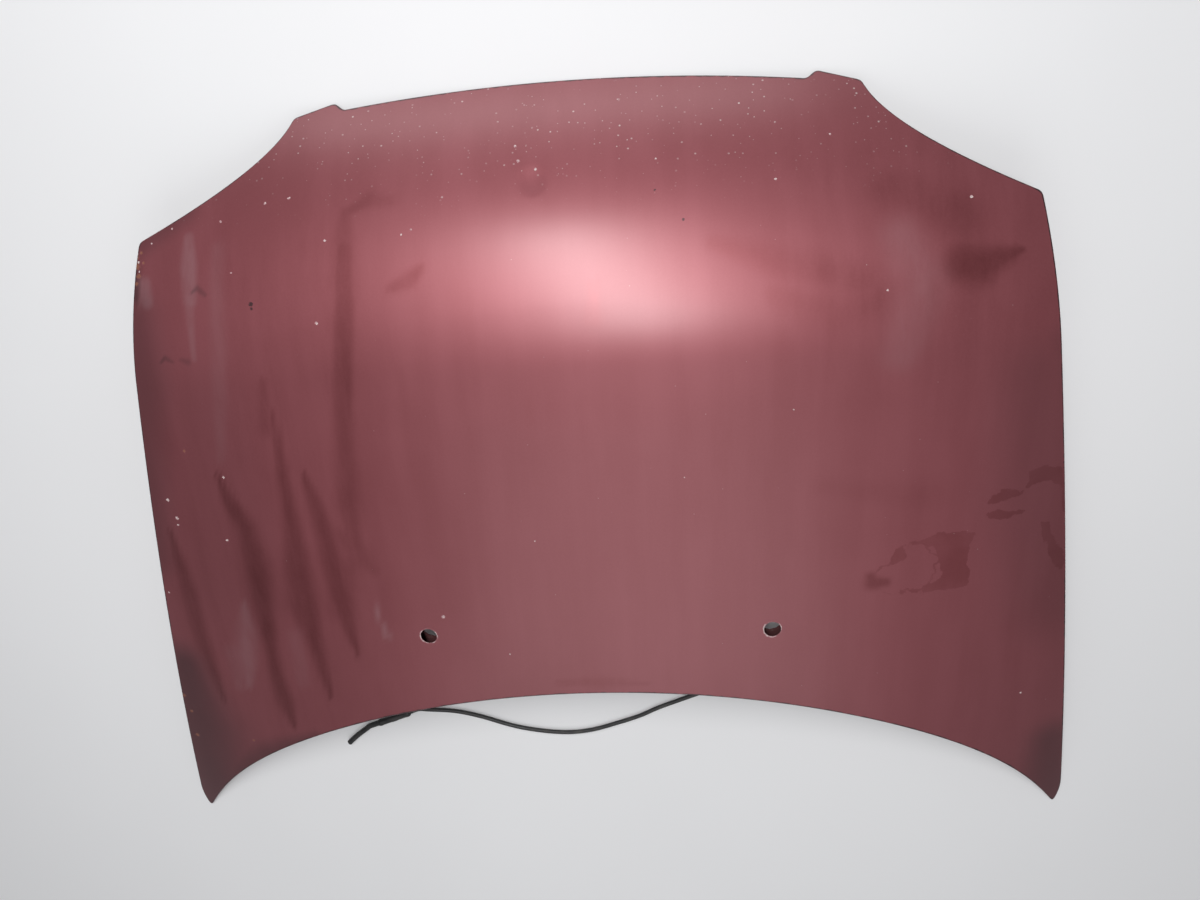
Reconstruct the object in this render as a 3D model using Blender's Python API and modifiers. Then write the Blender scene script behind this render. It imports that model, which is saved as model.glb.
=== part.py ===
# Car bonnet, lying on its two rear tips and the middle of its nose.
#
# Plan positions are (x, y): x across from the centre line, y forward from the line through the rear tips.
# Depths are measured square to the outer face of the skin. All sizes are in metres.
import math

import bmesh
import bpy
from mathutils import Matrix, Vector
from mathutils.geometry import intersect_line_line_2d

# Outline of the outer skin in plan
LENGTH = 1.028
SIDE_HALF_WIDTH = 0.6565
TIP_NARROWING = 0.0145
TIP_CROP = 0.0036
TIP_FLARE_LENGTH = 0.045
REAR_ARCH = 0.243
ARCH_SQUARE = 0.70
ARCH_FOURTH = 0.11
CORNER_NARROWING = 0.1235
CORNER_SETBACK = 0.158
LAMP_PULL_SPREAD = 0.020
LAMP_PULL_SETBACK = 0.080
EAR_HALF_SPACING = 0.292
EAR_WIDTH = 0.051
EAR_OUTER_SETBACK = 0.023
EAR_INNER_SETBACK = 0.008
EAR_STEP_WIDTH = 0.012
EAR_FOOT_SETBACK = 0.017
TIP_ROUNDING = 0.009
CORNER_ROUNDING = 0.006
EAR_ROUNDING = 0.005
FOOT_ROUNDING = 0.004

# Crown of the outer face
EDGE_REFERENCE = 0.65
SIDE_DROP = 0.049
SIDE_ROLL_SHARE = 0.40
LENGTH_DROP = 0.114
NOSE_LENGTH = 0.328
NOSE_DROP = 0.142
TIP_SEAT = 0.00236
NOSE_SEAT = 0.00119

# Sheet metal
SKIN_SHEET = 0.0008
FRAME_SHEET = 0.0007
CLEARANCE = 0.0003
HEM_WIDTH = 0.0085
HEM_CORNER_WIDTH = 0.0008
HEM_TIP_TAPER = 0.12
HEM_CORNER_TAPER = 0.60
HEM_LINE_SHARE = 1.25
HEM_STEPS = 3
BEND_APPROACH = 0.010
STRIP = 0.085
SIDE_STRIPS = 4
EAR_STRIPS = 3
EAR_CUT_OFFSET = 0.01516
NOSE_STRIP = 0.037

# Washer jets
JET_HALF_SPACING = 0.227
JET_SETBACK = 0.097
JET_HOLE_RADIUS = 0.011
JET_ACCESS_RADIUS = 0.017

# Inner frame
FLANGE_DEPTH = 0.0053
FLOOR_DEPTH = 0.024
WALL_TOP_INSETS = (0.024, 0.024, 0.022, 0.022)
WALL_RUN = (0.014, 0.014, 0.022, 0.024)
WALL_ROUNDING = 0.045
HORN_ROUNDING = 0.030
LOOP_REACH = 0.08
HOLE_SEAT = 0.010
CENTRE_MEMBER = 0.060
SIDE_MEMBER = 0.069
REAR_MEMBER = 0.152
HINGE_MEMBER = 0.038
FRONT_MEMBER = 0.213
OPENING_FLANGE = 0.012
OPENING_WALL = 0.012
BEND_SHARE = 0.45

# Openings between the frame's members: the corners, as shares of the width between the centre and side
# members and of the length between the rear and front ones, and their rounding
OPENINGS = {
    "rear_inner": (((0, 0.0476), (0.5094, 0), (0.6364, 0.3929), (0, 0.5476)), 0.034),
    "front_inner": (((0, 0.7262), (0.6185, 0.5833), (0.5195, 0.9643), (0, 1)), 0.034),
    "rear_outer": (((0.654, 0.0833), (0.9486, 0), (0.9998, 0.6563), (0.799, 0.5208)), 0.030),
    "front_outer": (((0.7762, 0.7083), (0.9541, 0.8125), (0.9165, 0.9583), (0.7019, 0.9792)), 0.026),
}

# Hinge pads, plates and weld nuts
HINGE_INSET = 0.1245
HINGE_ADVANCE = 0.245
HINGE_PAD_HALF = (0.022, 0.044)
HINGE_PAD_DEPTH = 0.028
HINGE_BOLT_SPACING = 0.050
HINGE_HOLE_RADIUS = 0.0045
HINGE_PLATE = 0.0015
HINGE_PLATE_MARGIN = 0.004
PAD_WALL = 0.008
PAD_ROUNDING = 0.008

# Lock pad, striker and its fixings
LOCK_SETBACK = 0.128
LOCK_PAD_HALF = (0.046, 0.030)
LOCK_PAD_LIFT = 0.00329
LOCK_WALL = 0.014
LOCK_WALL_REAR = 0.022
LOCK_PLATE = 0.0012
STRIKER_PLATE = 0.003
STRIKER_PLATE_HALF = (0.037, 0.026)
STRIKER_BOLT_SPACING = 0.050
STRIKER_HOLE_RADIUS = 0.0045
STRIKER_RELIEF_HALF = (0.009, 0.024)
STRIKER_WIRE_RADIUS = 0.004
STRIKER_LEG_SPACING = 0.034
STRIKER_DROP = 0.034
STRIKER_BEND = 0.011

# Fasteners
BOLT_RADIUS = 0.004
BOLT_HEAD_ACROSS_FLATS = 0.013
BOLT_HEAD_HEIGHT = 0.0055
BOLT_FLANGE_RADIUS = 0.0088
BOLT_FLANGE_HEIGHT = 0.0015
NUT_ACROSS_FLATS = 0.013
NUT_HEIGHT = 0.0065
NUT_BORE_RADIUS = 0.0043

# Rubber and plastic fittings
BUFFER_OFFSET = 0.063
BUFFER_SETBACK = 0.160
BUFFER_RADIUS = 0.012
BUFFER_HEIGHT = 0.013
PLUG_NECK_RADIUS = 0.004
PLUG_HEAD_RADIUS = 0.0062
PLUG_HEAD_HEIGHT = 0.004
STAY_SOCKET_SPACING = 0.075
STAY_SOCKET_SETBACK = 0.158
STAY_SOCKET_HOLE_RADIUS = 0.009
STAY_SOCKET_BORE_RADIUS = 0.0045
GROMMET_OFFSET = 0.150
GROMMET_SETBACK = 0.073
GROMMET_HOLE_RADIUS = 0.007
FITTING_LIP = 0.003
FITTING_LIP_HEIGHT = 0.002
MASTIC_LENGTH = 0.026
MASTIC_WIDTH = 0.0085
MASTIC_CLEARANCE = 0.0008

# Washer hose, its joiner and the stub of larger hose on it
HOSE_RADIUS = 0.003
HOSE_IN_FRAME = 0.012
HOSE_STRAIGHT = 0.020
HOSE_STEP = 0.016
STUB_RADIUS = 0.004
JOINER_RADIUS = 0.0055
JOINER_END_RADIUS = 0.0046
JOINER_TAPER = 0.004
JOINER_START = (-0.3009, 0.1623)
JOINER_END = (-0.3500, 0.1450)
HOSE_LOOP = (
    (0.1660, 0.2850, 0.0200),
    (0.1760, 0.2620, 0.0040),
    (0.1800, 0.2360, 0.0030),
    (0.1710, 0.2110, 0.0030),
    (0.1490, 0.1940, 0.0030),
    (0.1149, 0.1804, 0.0030),
    (0.0735, 0.1644, 0.0030),
    (0.0436, 0.1505, 0.0030),
    (0.0135, 0.1400, 0.0030),
    (-0.0319, 0.1269, 0.0030),
    (-0.0770, 0.1241, 0.0030),
    (-0.1366, 0.1334, 0.0030),
    (-0.1953, 0.1531, 0.0030),
    (-0.2323, 0.1622, 0.0032),
    (-0.2700, 0.1660, 0.0045),
)
STUB_ROUTE = (
    (-0.3700, 0.1355, 0.0045),
    (-0.3860, 0.1235, 0.0040),
    (-0.4006, 0.1106, 0.0040),
)

# Places that follow from these sizes
TIP_HALF_SPACING = SIDE_HALF_WIDTH - TIP_NARROWING
CORNER = (SIDE_HALF_WIDTH - CORNER_NARROWING, LENGTH - CORNER_SETBACK)
EAR_OUTER = (EAR_HALF_SPACING + EAR_WIDTH, LENGTH - EAR_OUTER_SETBACK)
EAR_INNER = (EAR_HALF_SPACING, LENGTH - EAR_INNER_SETBACK)
EAR_FOOT = (EAR_HALF_SPACING - EAR_STEP_WIDTH, LENGTH - EAR_FOOT_SETBACK)
LAMP_CUT_PULL = (EAR_OUTER[0] + LAMP_PULL_SPREAD, LENGTH - LAMP_PULL_SETBACK)
NOSE_START = LENGTH - NOSE_LENGTH
JET = (JET_HALF_SPACING, REAR_ARCH + JET_SETBACK)
HINGE_PAD = (SIDE_HALF_WIDTH - HINGE_INSET, HINGE_ADVANCE)
LOCK_PAD = (0.0, LENGTH - LOCK_SETBACK)
BUFFER = ((CORNER[0] + EAR_OUTER[0]) / 2 - BUFFER_OFFSET, LENGTH - BUFFER_SETBACK)
STAY_SOCKET = (STAY_SOCKET_SPACING - BUFFER[0], LENGTH - STAY_SOCKET_SETBACK)
GROMMET = (GROMMET_OFFSET, REAR_ARCH + GROMMET_SETBACK)

HEM_STACK = 2 * SKIN_SHEET + FRAME_SHEET + 2 * CLEARANCE
HEM_RADIUS = HEM_STACK / 2
FLANGE_EDGE_INSET = HEM_RADIUS + CLEARANCE
RIM_DEPTH = SKIN_SHEET + CLEARANCE


def raw_height(x, y):
    """Height of the outer face before it is levelled on its tips and nose."""
    across = (x / EDGE_REFERENCE) ** 2
    side = SIDE_DROP * ((1 - SIDE_ROLL_SHARE) * across + SIDE_ROLL_SHARE * across ** 3)
    along = LENGTH_DROP * (y / LENGTH) ** 2
    nose = NOSE_DROP * (max(0.0, y - NOSE_START) / (LENGTH - NOSE_START)) ** 2
    return -side - along - nose


TIP_LEVEL = raw_height(TIP_HALF_SPACING, 0) - TIP_SEAT
NOSE_LEVEL = raw_height(0, LENGTH) - NOSE_SEAT


def skin_point(x, y):
    """Point of the outer face above a plan position."""
    level = TIP_LEVEL + (NOSE_LEVEL - TIP_LEVEL) * y / LENGTH
    return Vector((x, y, raw_height(x, y) - level))


def skin_normal(x, y):
    """Outward normal of the outer face above a plan position."""
    step = 0.0005
    across = skin_point(x + step, y) - skin_point(x - step, y)
    along = skin_point(x, y + step) - skin_point(x, y - step)
    return across.cross(along).normalized()


def under_skin(x, y, depth):
    """Point at a depth below the outer face."""
    return skin_point(x, y) - skin_normal(x, y) * depth


def seat(x, y, depth):
    """Frame of axes at a depth below the outer face, Z square to it and X across the car."""
    up = skin_normal(x, y)
    along = up.cross(Vector((1, 0, 0))).normalized()
    across = along.cross(up)
    return Matrix.Translation(under_skin(x, y, depth)) @ Matrix((across, along, up)).transposed().to_4x4()


# Plan curves of the right half, all running the way round that keeps the panel on their left

def rear_curve(count=60):
    points = []
    for step in range(count + 1):
        share = step / count
        fall = ARCH_SQUARE * share ** 2 + ARCH_FOURTH * share ** 4
        fall += (1 - ARCH_SQUARE - ARCH_FOURTH) * share ** 10
        points.append(Vector((TIP_HALF_SPACING * share, REAR_ARCH - (REAR_ARCH + TIP_CROP) * fall)))
    return points


def side_line(y):
    """Half width of the panel at a place along its side, without the flare at the tip."""
    return SIDE_HALF_WIDTH - CORNER_NARROWING * (y + TIP_CROP) / (CORNER[1] + TIP_CROP)


def side_curve(count=60):
    points = []
    flare = SIDE_HALF_WIDTH - TIP_HALF_SPACING
    for step in range(count + 1):
        share = (step / count) ** 1.5
        y = -TIP_CROP + (CORNER[1] + TIP_CROP) * share
        missing = max(0.0, 1 - (y + TIP_CROP) / TIP_FLARE_LENGTH)
        points.append(Vector((side_line(y) - flare * missing ** 2, y)))
    return points


def quadratic(start, pull, end, count):
    """Quadratic Bezier curve."""
    points = []
    for step in range(count + 1):
        share = step / count
        first = start.lerp(pull, share)
        points.append(first.lerp(pull.lerp(end, share), share))
    return points


def lamp_curve(end=EAR_OUTER):
    return quadratic(Vector(CORNER), Vector(LAMP_CUT_PULL), Vector(end), 30)


def front_curve(start=EAR_FOOT, count=20):
    fall = (LENGTH - EAR_FOOT[1]) / EAR_FOOT[0] ** 2
    points = []
    for step in range(count + 1):
        x = start[0] * (1 - step / count)
        points.append(Vector((x, LENGTH - fall * x ** 2)))
    return points


def shifted(points, distance):
    """Polyline moved to its left by a distance."""
    moved = []
    for index, point in enumerate(points):
        before = points[max(index - 1, 0)]
        after = points[min(index + 1, len(points) - 1)]
        run = (after - before).normalized()
        moved.append(point + Vector((-run.y, run.x)) * distance)
    return moved


def stretched(points, length):
    """Polyline lengthened straight on at both ends."""
    head = points[0] + (points[0] - points[1]).normalized() * length
    tail = points[-1] + (points[-1] - points[-2]).normalized() * length
    return [head] + points + [tail]


def split_at_crossing(first, second):
    """The part of one polyline before it meets another, and the part of the other after."""
    if (first[-1] - second[0]).length < 1e-6:
        return first, second
    for low in range(len(first) - 1):
        for high in range(len(second) - 1):
            meeting = intersect_line_line_2d(first[low], first[low + 1], second[high], second[high + 1])
            if meeting is not None:
                return first[:low + 1] + [meeting], [meeting] + second[high + 1:]
    raise ValueError("two sides of the outline do not meet")


def cut_back(points, length):
    """Polyline with a length taken off its end."""
    kept = list(points)
    while (kept[-1] - kept[-2]).length <= length:
        length -= (kept[-1] - kept[-2]).length
        kept.pop()
    kept[-1] = kept[-1].lerp(kept[-2], length / (kept[-1] - kept[-2]).length)
    return kept


def spread(points, count, power=1.0):
    """A number of points along a polyline, closer together at its start for a power over 1."""
    lengths = [0.0]
    for before, after in zip(points, points[1:]):
        lengths.append(lengths[-1] + (after - before).length)
    chosen = []
    for step in range(count + 1):
        target = lengths[-1] * (step / count) ** power
        index = 1
        while index < len(points) - 1 and lengths[index] < target:
            index += 1
        span = lengths[index] - lengths[index - 1]
        chosen.append(points[index - 1].lerp(points[index], (target - lengths[index - 1]) / span))
    return chosen


def approached(points, count, power, at_start, at_end):
    """A number of points along a polyline, with one more close to each end that meets a bend."""
    middle = list(points)
    if at_end:
        middle = cut_back(middle, BEND_APPROACH)
    if at_start:
        middle = list(reversed(cut_back(list(reversed(middle)), BEND_APPROACH)))
    chosen = spread(middle, count, power)
    return points[:1] * at_start + chosen + points[-1:] * at_end


def half_loop(curves, roundings, counts, bend_steps, approach=False):
    """Curves joined at their crossings with rounded bends, from the rear centre to the front centre."""
    curves = list(curves)
    bends = []
    for index, rounding in enumerate(roundings):
        before, after = split_at_crossing(curves[index], curves[index + 1])
        corner = before[-1]
        before = cut_back(before, rounding)
        after = list(reversed(cut_back(list(reversed(after)), rounding)))
        bends.append(quadratic(before[-1], corner, after[0], bend_steps))
        curves[index], curves[index + 1] = before, after
    loop = []
    for index, (curve, (count, power)) in enumerate(zip(curves, counts)):
        if approach and (curve[-1] - curve[0]).length > 3 * BEND_APPROACH:
            loop += approached(curve, count, power, index > 0, index < len(bends))
        else:
            loop += spread(curve, count, power)
        if index < len(bends):
            loop += bends[index][1:-1]
    loop[0].x = 0.0
    loop[-1].x = 0.0
    return loop


def whole(half):
    """Closed loop from its right half."""
    return half + [Vector((-point.x, point.y)) for point in reversed(half[1:-1])]


def outline():
    ear = [Vector(EAR_OUTER), Vector(EAR_INNER)]
    foot = [Vector(EAR_INNER), Vector(EAR_FOOT)]
    curves = [rear_curve(), side_curve(), lamp_curve(), ear, foot, front_curve()]
    roundings = (TIP_ROUNDING, CORNER_ROUNDING, EAR_ROUNDING, EAR_ROUNDING, FOOT_ROUNDING)
    counts = ((12, 0.8), (6, 1.7), (6, 1.0), (1, 1.0), (1, 1.0), (5, 1.0))
    return whole(half_loop(curves, roundings, counts, 3, True))


def frame_loop(insets):
    """Closed loop inside the outline, without the ears, at its own inset from each side."""
    plain_foot = (EAR_OUTER[0], LENGTH - (LENGTH - EAR_FOOT[1]) * (EAR_OUTER[0] / EAR_FOOT[0]) ** 2)
    sides = (rear_curve(), side_curve(), lamp_curve(plain_foot), front_curve(plain_foot))
    curves = [stretched(shifted(side, inset), LOOP_REACH) for side, inset in zip(sides, insets)]
    curves[0] = curves[0][1:]
    curves[-1] = curves[-1][:-1]
    roundings = (HORN_ROUNDING, WALL_ROUNDING, WALL_ROUNDING)
    counts = ((9, 1.0), (5, 1.0), (3, 1.0), (4, 1.0))
    return whole(half_loop(curves, roundings, counts, 3))


HEM_CORNERS = (
    ((TIP_HALF_SPACING, 0.0), HEM_TIP_TAPER),
    (CORNER, HEM_CORNER_TAPER),
    (EAR_OUTER, HEM_CORNER_TAPER),
    (EAR_INNER, HEM_CORNER_TAPER),
)


def hem_width(point):
    """Width of the folded hem, which tapers off at each corner of the outline."""
    width = HEM_WIDTH
    for corner, taper in HEM_CORNERS:
        away = (Vector((abs(point.x), point.y)) - Vector(corner)).length
        width = min(width, HEM_CORNER_WIDTH + taper * away)
    return width


def inset_loop(loop, distances):
    """Closed loop moved inwards point by point, square to both of its neighbours."""
    moved = []
    for index, point in enumerate(loop):
        before = (point - loop[index - 1]).normalized()
        after = (loop[(index + 1) % len(loop)] - point).normalized()
        normals = Vector((-before.y, before.x)) + Vector((-after.y, after.x))
        mitre = normals / max(0.5, 1 + before.dot(after))
        moved.append(point + mitre * distances[index])
    return moved


def circle(centre, radius, count):
    points = []
    for step in range(count):
        angle = 2 * math.pi * step / count
        points.append(Vector((centre[0] + radius * math.cos(angle), centre[1] + radius * math.sin(angle))))
    return points


def rounded_polygon(corners, rounding, steps=2):
    """Closed loop with a rounded bend at each corner, no longer than its sides allow."""
    loop = []
    corners = [Vector(corner) for corner in corners]
    for index, corner in enumerate(corners):
        before = corners[index - 1] - corner
        after = corners[(index + 1) % len(corners)] - corner
        reach = min(rounding, BEND_SHARE * before.length, BEND_SHARE * after.length)
        start = corner + before.normalized() * reach
        end = corner + after.normalized() * reach
        loop += quadratic(start, corner, end, steps)
    return loop


def rounded_box(centre, half, rounding, grow=0.0, grow_rear=None):
    x, y = centre
    wide = half[0] + grow
    front = half[1] + grow
    rear = half[1] + (grow if grow_rear is None else grow_rear)
    corners = ((x - wide, y - rear), (x + wide, y - rear), (x + wide, y + front), (x - wide, y + front))
    return rounded_polygon(corners, rounding + grow, 2)


def mirrored(point):
    return (-point[0], point[1])


def mirrored_loop(loop):
    return [Vector((-point.x, point.y)) for point in reversed(loop)]


# Flat patterns: a sheet is laid out flat in plan, with its pressings as depths, and then draped

def place_loop(bm, loop, depth):
    """Ring of vertices at one depth, or at a depth for each point."""
    depths = depth if isinstance(depth, list) else [depth] * len(loop)
    return [bm.verts.new((point.x, point.y, -deep)) for point, deep in zip(loop, depths)]


def add_band(bm, outer, inner, kept=False):
    """Faces between two rings of the same count, whose edges are marked where they must be kept."""
    for index, vertex in enumerate(outer):
        following = (index + 1) % len(outer)
        face = bm.faces.new((vertex, outer[following], inner[following], inner[index]))
        for edge in face.edges:
            edge.seam = edge.seam or kept


def fill_rings(bm, rings):
    """Faces between a ring and the rings inside it."""
    edges = []
    for ring in rings:
        for index, vertex in enumerate(ring):
            following = ring[(index + 1) % len(ring)]
            edge = bm.edges.get((vertex, following)) or bm.edges.new((vertex, following))
            edge.seam = True
            edges.append(edge)
    bmesh.ops.triangle_fill(bm, edges=edges, use_beauty=True, normal=(0, 0, 1))


def cut_in_strips(bm):
    """Cuts a flat pattern into cells along straight lines, so that it can follow the crown."""
    for place, normal in strip_planes():
        geometry = bm.verts[:] + bm.edges[:] + bm.faces[:]
        cut = bmesh.ops.bisect_plane(bm, geom=geometry, dist=0.003, plane_co=place, plane_no=normal)
        for item in cut["geom_cut"]:
            if isinstance(item, bmesh.types.BMEdge):
                item.seam = True
    bmesh.ops.dissolve_limit(bm, angle_limit=math.radians(0.3), verts=bm.verts[:], edges=bm.edges[:],
                             delimit={"SEAM"})
    bmesh.ops.triangulate(bm, faces=bm.faces[:])


def strip_planes():
    """Cuts lengthways and crossways, closer together on the nose.

    The outer cuts lengthways are parallel to the sides, and the last but one runs just inside the ear.
    """
    planes = []
    lean = CORNER_NARROWING / CORNER[1]
    ear_cut = EAR_OUTER[0] + EAR_OUTER[1] * lean - EAR_CUT_OFFSET
    side_strip = (SIDE_HALF_WIDTH - ear_cut) / EAR_STRIPS
    for side in (-1, 1):
        x = STRIP / 2
        while x < SIDE_HALF_WIDTH - side_strip * SIDE_STRIPS - STRIP:
            planes.append(((x * side, 0, 0), (1, 0, 0)))
            x += STRIP
        for step in range(SIDE_STRIPS):
            place = SIDE_HALF_WIDTH - side_strip * (step + 1)
            planes.append(((place * side, 0, 0), (side, lean, 0)))
    y = NOSE_START
    while y > 0:
        planes.append(((0, y, 0), (0, 1, 0)))
        y -= STRIP
    y = NOSE_START + NOSE_STRIP
    while y < LENGTH - NOSE_STRIP:
        planes.append(((0, y, 0), (0, 1, 0)))
        y += NOSE_STRIP
    return planes


def face_up(bm):
    bm.normal_update()
    for face in bm.faces:
        if face.normal.z < 0:
            face.normal_flip()
    bm.normal_update()


# Objects

def new_material(name, color, roughness, metallic):
    material = bpy.data.materials.new(name)
    material.use_nodes = True
    shader = material.node_tree.nodes["Principled BSDF"]
    shader.inputs["Base Color"].default_value = (*color, 1)
    shader.inputs["Roughness"].default_value = roughness
    shader.inputs["Metallic"].default_value = metallic
    return material


def clear_scene():
    for item in list(bpy.data.objects):
        bpy.data.objects.remove(item, do_unlink=True)


clear_scene()
bonnet = bpy.data.collections.new("bonnet")
cutters = bpy.data.collections.new("cutters")
bpy.context.scene.collection.children.link(bonnet)
bpy.context.scene.collection.children.link(cutters)

root = bpy.data.objects.new("bonnet_middle", None)
root.location = (0, -LENGTH / 2, 0)
bonnet.objects.link(root)

MATERIALS = {
    "paint": new_material("paint", (0.26, 0.075, 0.085), 0.45, 0.3),
    "frame_paint": new_material("frame_paint", (0.16, 0.045, 0.05), 0.5, 0.1),
    "zinc": new_material("zinc", (0.55, 0.55, 0.52), 0.4, 0.9),
    "rubber": new_material("rubber", (0.02, 0.02, 0.02), 0.8, 0.0),
    "plastic": new_material("plastic", (0.05, 0.05, 0.05), 0.5, 0.0),
    "mastic": new_material("mastic", (0.35, 0.33, 0.30), 0.9, 0.0),
    "hose": new_material("hose", (0.015, 0.015, 0.015), 0.6, 0.0),
}


def finish(name, mesh, material, matrix=None, collection=None):
    """Object with a material, placed in the bonnet's own axes."""
    item = bpy.data.objects.new(name, mesh)
    mesh.materials.append(MATERIALS[material])
    (collection or bonnet).objects.link(item)
    item.parent = root
    if matrix is not None:
        item.matrix_local = matrix
    return item


def mesh_from(bm, name):
    mesh = bpy.data.meshes.new(name)
    bm.to_mesh(mesh)
    bm.free()
    mesh.shade_smooth()
    mesh.set_sharp_from_angle(angle=math.radians(40))
    return mesh


def add_solidify(item, thickness):
    modifier = item.modifiers.new("sheet", "SOLIDIFY")
    modifier.thickness = thickness
    modifier.offset = -1
    modifier.use_even_offset = True
    modifier.use_quality_normals = True


def add_boolean(item, other, operation):
    modifier = item.modifiers.new(other.name, "BOOLEAN")
    modifier.operation = operation
    modifier.solver = "EXACT"
    modifier.object = other
    other.hide_render = True
    other.display_type = "WIRE"


def cylinder(name, radius, low, high, segments, matrix, material, collection=None):
    bm = bmesh.new()
    bmesh.ops.create_cone(bm, cap_ends=True, segments=segments, radius1=radius, radius2=radius,
                          depth=high - low)
    bmesh.ops.translate(bm, verts=bm.verts, vec=(0, 0, (high + low) / 2))
    return finish(name, mesh_from(bm, name), material, matrix, collection)


def turned(name, profile, matrix, material, segments=14):
    """Turned piece from a profile of (radius, height), which runs down its outer side."""
    bm = bmesh.new()
    verts = [bm.verts.new((radius, 0, height)) for radius, height in profile]
    for first, second in zip(verts, verts[1:]):
        bm.edges.new((first, second))
    if profile[0][0] > 0:
        bm.edges.new((verts[-1], verts[0]))
    item = finish(name, mesh_from(bm, name), material, matrix)
    modifier = item.modifiers.new("turn", "SCREW")
    modifier.angle = math.radians(360)
    modifier.steps = segments
    modifier.render_steps = segments
    modifier.merge_threshold = 0.0001
    modifier.use_merge_vertices = True
    modifier.use_smooth_shade = True
    return item


def plate(name, loops, thickness, matrix, material, low=0.0):
    """Flat plate from its outline and holes, in its own axes."""
    bm = bmesh.new()
    rings = [place_loop(bm, loop, -low) for loop in loops]
    fill_rings(bm, rings)
    face_up(bm)
    item = finish(name, mesh_from(bm, name), material, matrix)
    modifier = item.modifiers.new("plate", "SOLIDIFY")
    modifier.thickness = thickness
    modifier.offset = 1
    return item


# Outer skin

def fold_hem(bm):
    """Rolls the free edge of the draped skin under and back along its inner side."""
    rim = [edge for edge in bm.edges if edge.is_boundary and not near_jet(edge.verts[0].co)]
    outward = {}
    for edge in rim:
        middle = (edge.verts[0].co + edge.verts[1].co) / 2
        away = middle - edge.link_faces[0].calc_center_median()
        run = (edge.verts[1].co - edge.verts[0].co).normalized()
        up = edge.link_faces[0].normal
        square = run.cross(up).normalized()
        square *= 1 if square.dot(away) > 0 else -1
        for vertex in edge.verts:
            outward.setdefault(vertex, []).append(square)
    rolls = {}
    for vertex, squares in outward.items():
        mitre = (squares[0] + squares[1]) / max(0.5, 1 + squares[0].dot(squares[1]))
        up = skin_normal(vertex.co.x, vertex.co.y)
        rolls[vertex] = (vertex.co.copy(), mitre, up, hem_width(vertex.co.xy))
    stages = []
    for step in range(1, HEM_STEPS + 1):
        angle = math.pi * step / HEM_STEPS
        stages.append((HEM_RADIUS * math.sin(angle), HEM_RADIUS * (1 - math.cos(angle)), 0.0))
    stages.append((0.0, 2 * HEM_RADIUS, 1.0))
    for out, down, back in stages:
        extruded = bmesh.ops.extrude_edge_only(bm, edges=rim)["geom"]
        rim = [item for item in extruded if isinstance(item, bmesh.types.BMEdge)]
        fresh = {item for item in extruded if isinstance(item, bmesh.types.BMVert)}
        for vertex in fresh:
            source = [edge.other_vert(vertex) for edge in vertex.link_edges]
            source = [other for other in source if other not in fresh][0]
            start, mitre, up, width = rolls[source]
            rolls[vertex] = rolls[source]
            vertex.co = start + mitre * (out - back * width) - up * down


def near_jet(point):
    return (Vector((abs(point.x), point.y)) - Vector(JET)).length < 2 * JET_HOLE_RADIUS


def build_skin():
    bm = bmesh.new()
    edge = outline()
    hem_lines = [HEM_RADIUS + hem_width(point) * HEM_LINE_SHARE for point in edge]
    rim = place_loop(bm, inset_loop(edge, [HEM_RADIUS] * len(edge)), 0.0)
    line = place_loop(bm, inset_loop(edge, hem_lines), 0.0)
    add_band(bm, rim, line, True)
    jets = [place_loop(bm, circle(centre, JET_HOLE_RADIUS, 14), 0.0) for centre in (JET, mirrored(JET))]
    fill_rings(bm, [line] + jets)
    cut_in_strips(bm)
    face_up(bm)
    for vertex in bm.verts:
        vertex.co = skin_point(vertex.co.x, vertex.co.y)
    bm.normal_update()
    fold_hem(bm)
    bmesh.ops.recalc_face_normals(bm, faces=bm.faces)
    skin = finish("outer_skin", mesh_from(bm, "outer_skin"), "paint")
    add_solidify(skin, SKIN_SHEET)


# Inner frame

def lock_seat():
    """Level axes on the lock pad, a little above the floor of the frame in front of it."""
    front = under_skin(LOCK_PAD[0], LOCK_PAD[1] + LOCK_PAD_HALF[1], FLOOR_DEPTH)
    return Matrix.Translation((LOCK_PAD[0], LOCK_PAD[1], front.z + LOCK_PAD_LIFT))


def flat_places():
    """Centre, test and axes of each place of the frame that is pressed truly flat."""
    places = []
    for centre in (HINGE_PAD, mirrored(HINGE_PAD)):
        places.append((centre, in_box(HINGE_PAD_HALF), seat(*centre, HINGE_PAD_DEPTH)))
    places.append((LOCK_PAD, in_box(LOCK_PAD_HALF), lock_seat()))
    for centre, radius, count in frame_holes():
        places.append((centre, in_circle(radius + HOLE_SEAT), seat(*centre, FLOOR_DEPTH)))
    return places


def in_box(half):
    """Test for a point of the flat pattern on a pad pressed below the floor."""
    slack = 0.0002
    return lambda x, y, depth: (abs(x) < half[0] + slack and abs(y) < half[1] + slack
                                and depth > FLOOR_DEPTH + slack)


def in_circle(radius):
    """Test for a point of the flat pattern on the seat round a hole."""
    slack = 0.0002
    return lambda x, y, depth: math.hypot(x, y) < radius + slack


def drape_frame(bm):
    """Lays the flat pattern under the skin, with its pads and seats truly flat."""
    places = flat_places()
    for vertex in bm.verts:
        x, y, level = vertex.co
        vertex.co = under_skin(x, y, -level)
        for centre, holds, axes in places:
            if holds(x - centre[0], y - centre[1], -level):
                vertex.co = axes @ Vector((x - centre[0], y - centre[1], 0))


def hinge_holes(centre):
    return [(centre[0], centre[1] + HINGE_BOLT_SPACING / 2 * end) for end in (-1, 1)]


def striker_holes():
    return [(STRIKER_BOLT_SPACING / 2 * side, LOCK_PAD[1]) for side in (-1, 1)]


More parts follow.
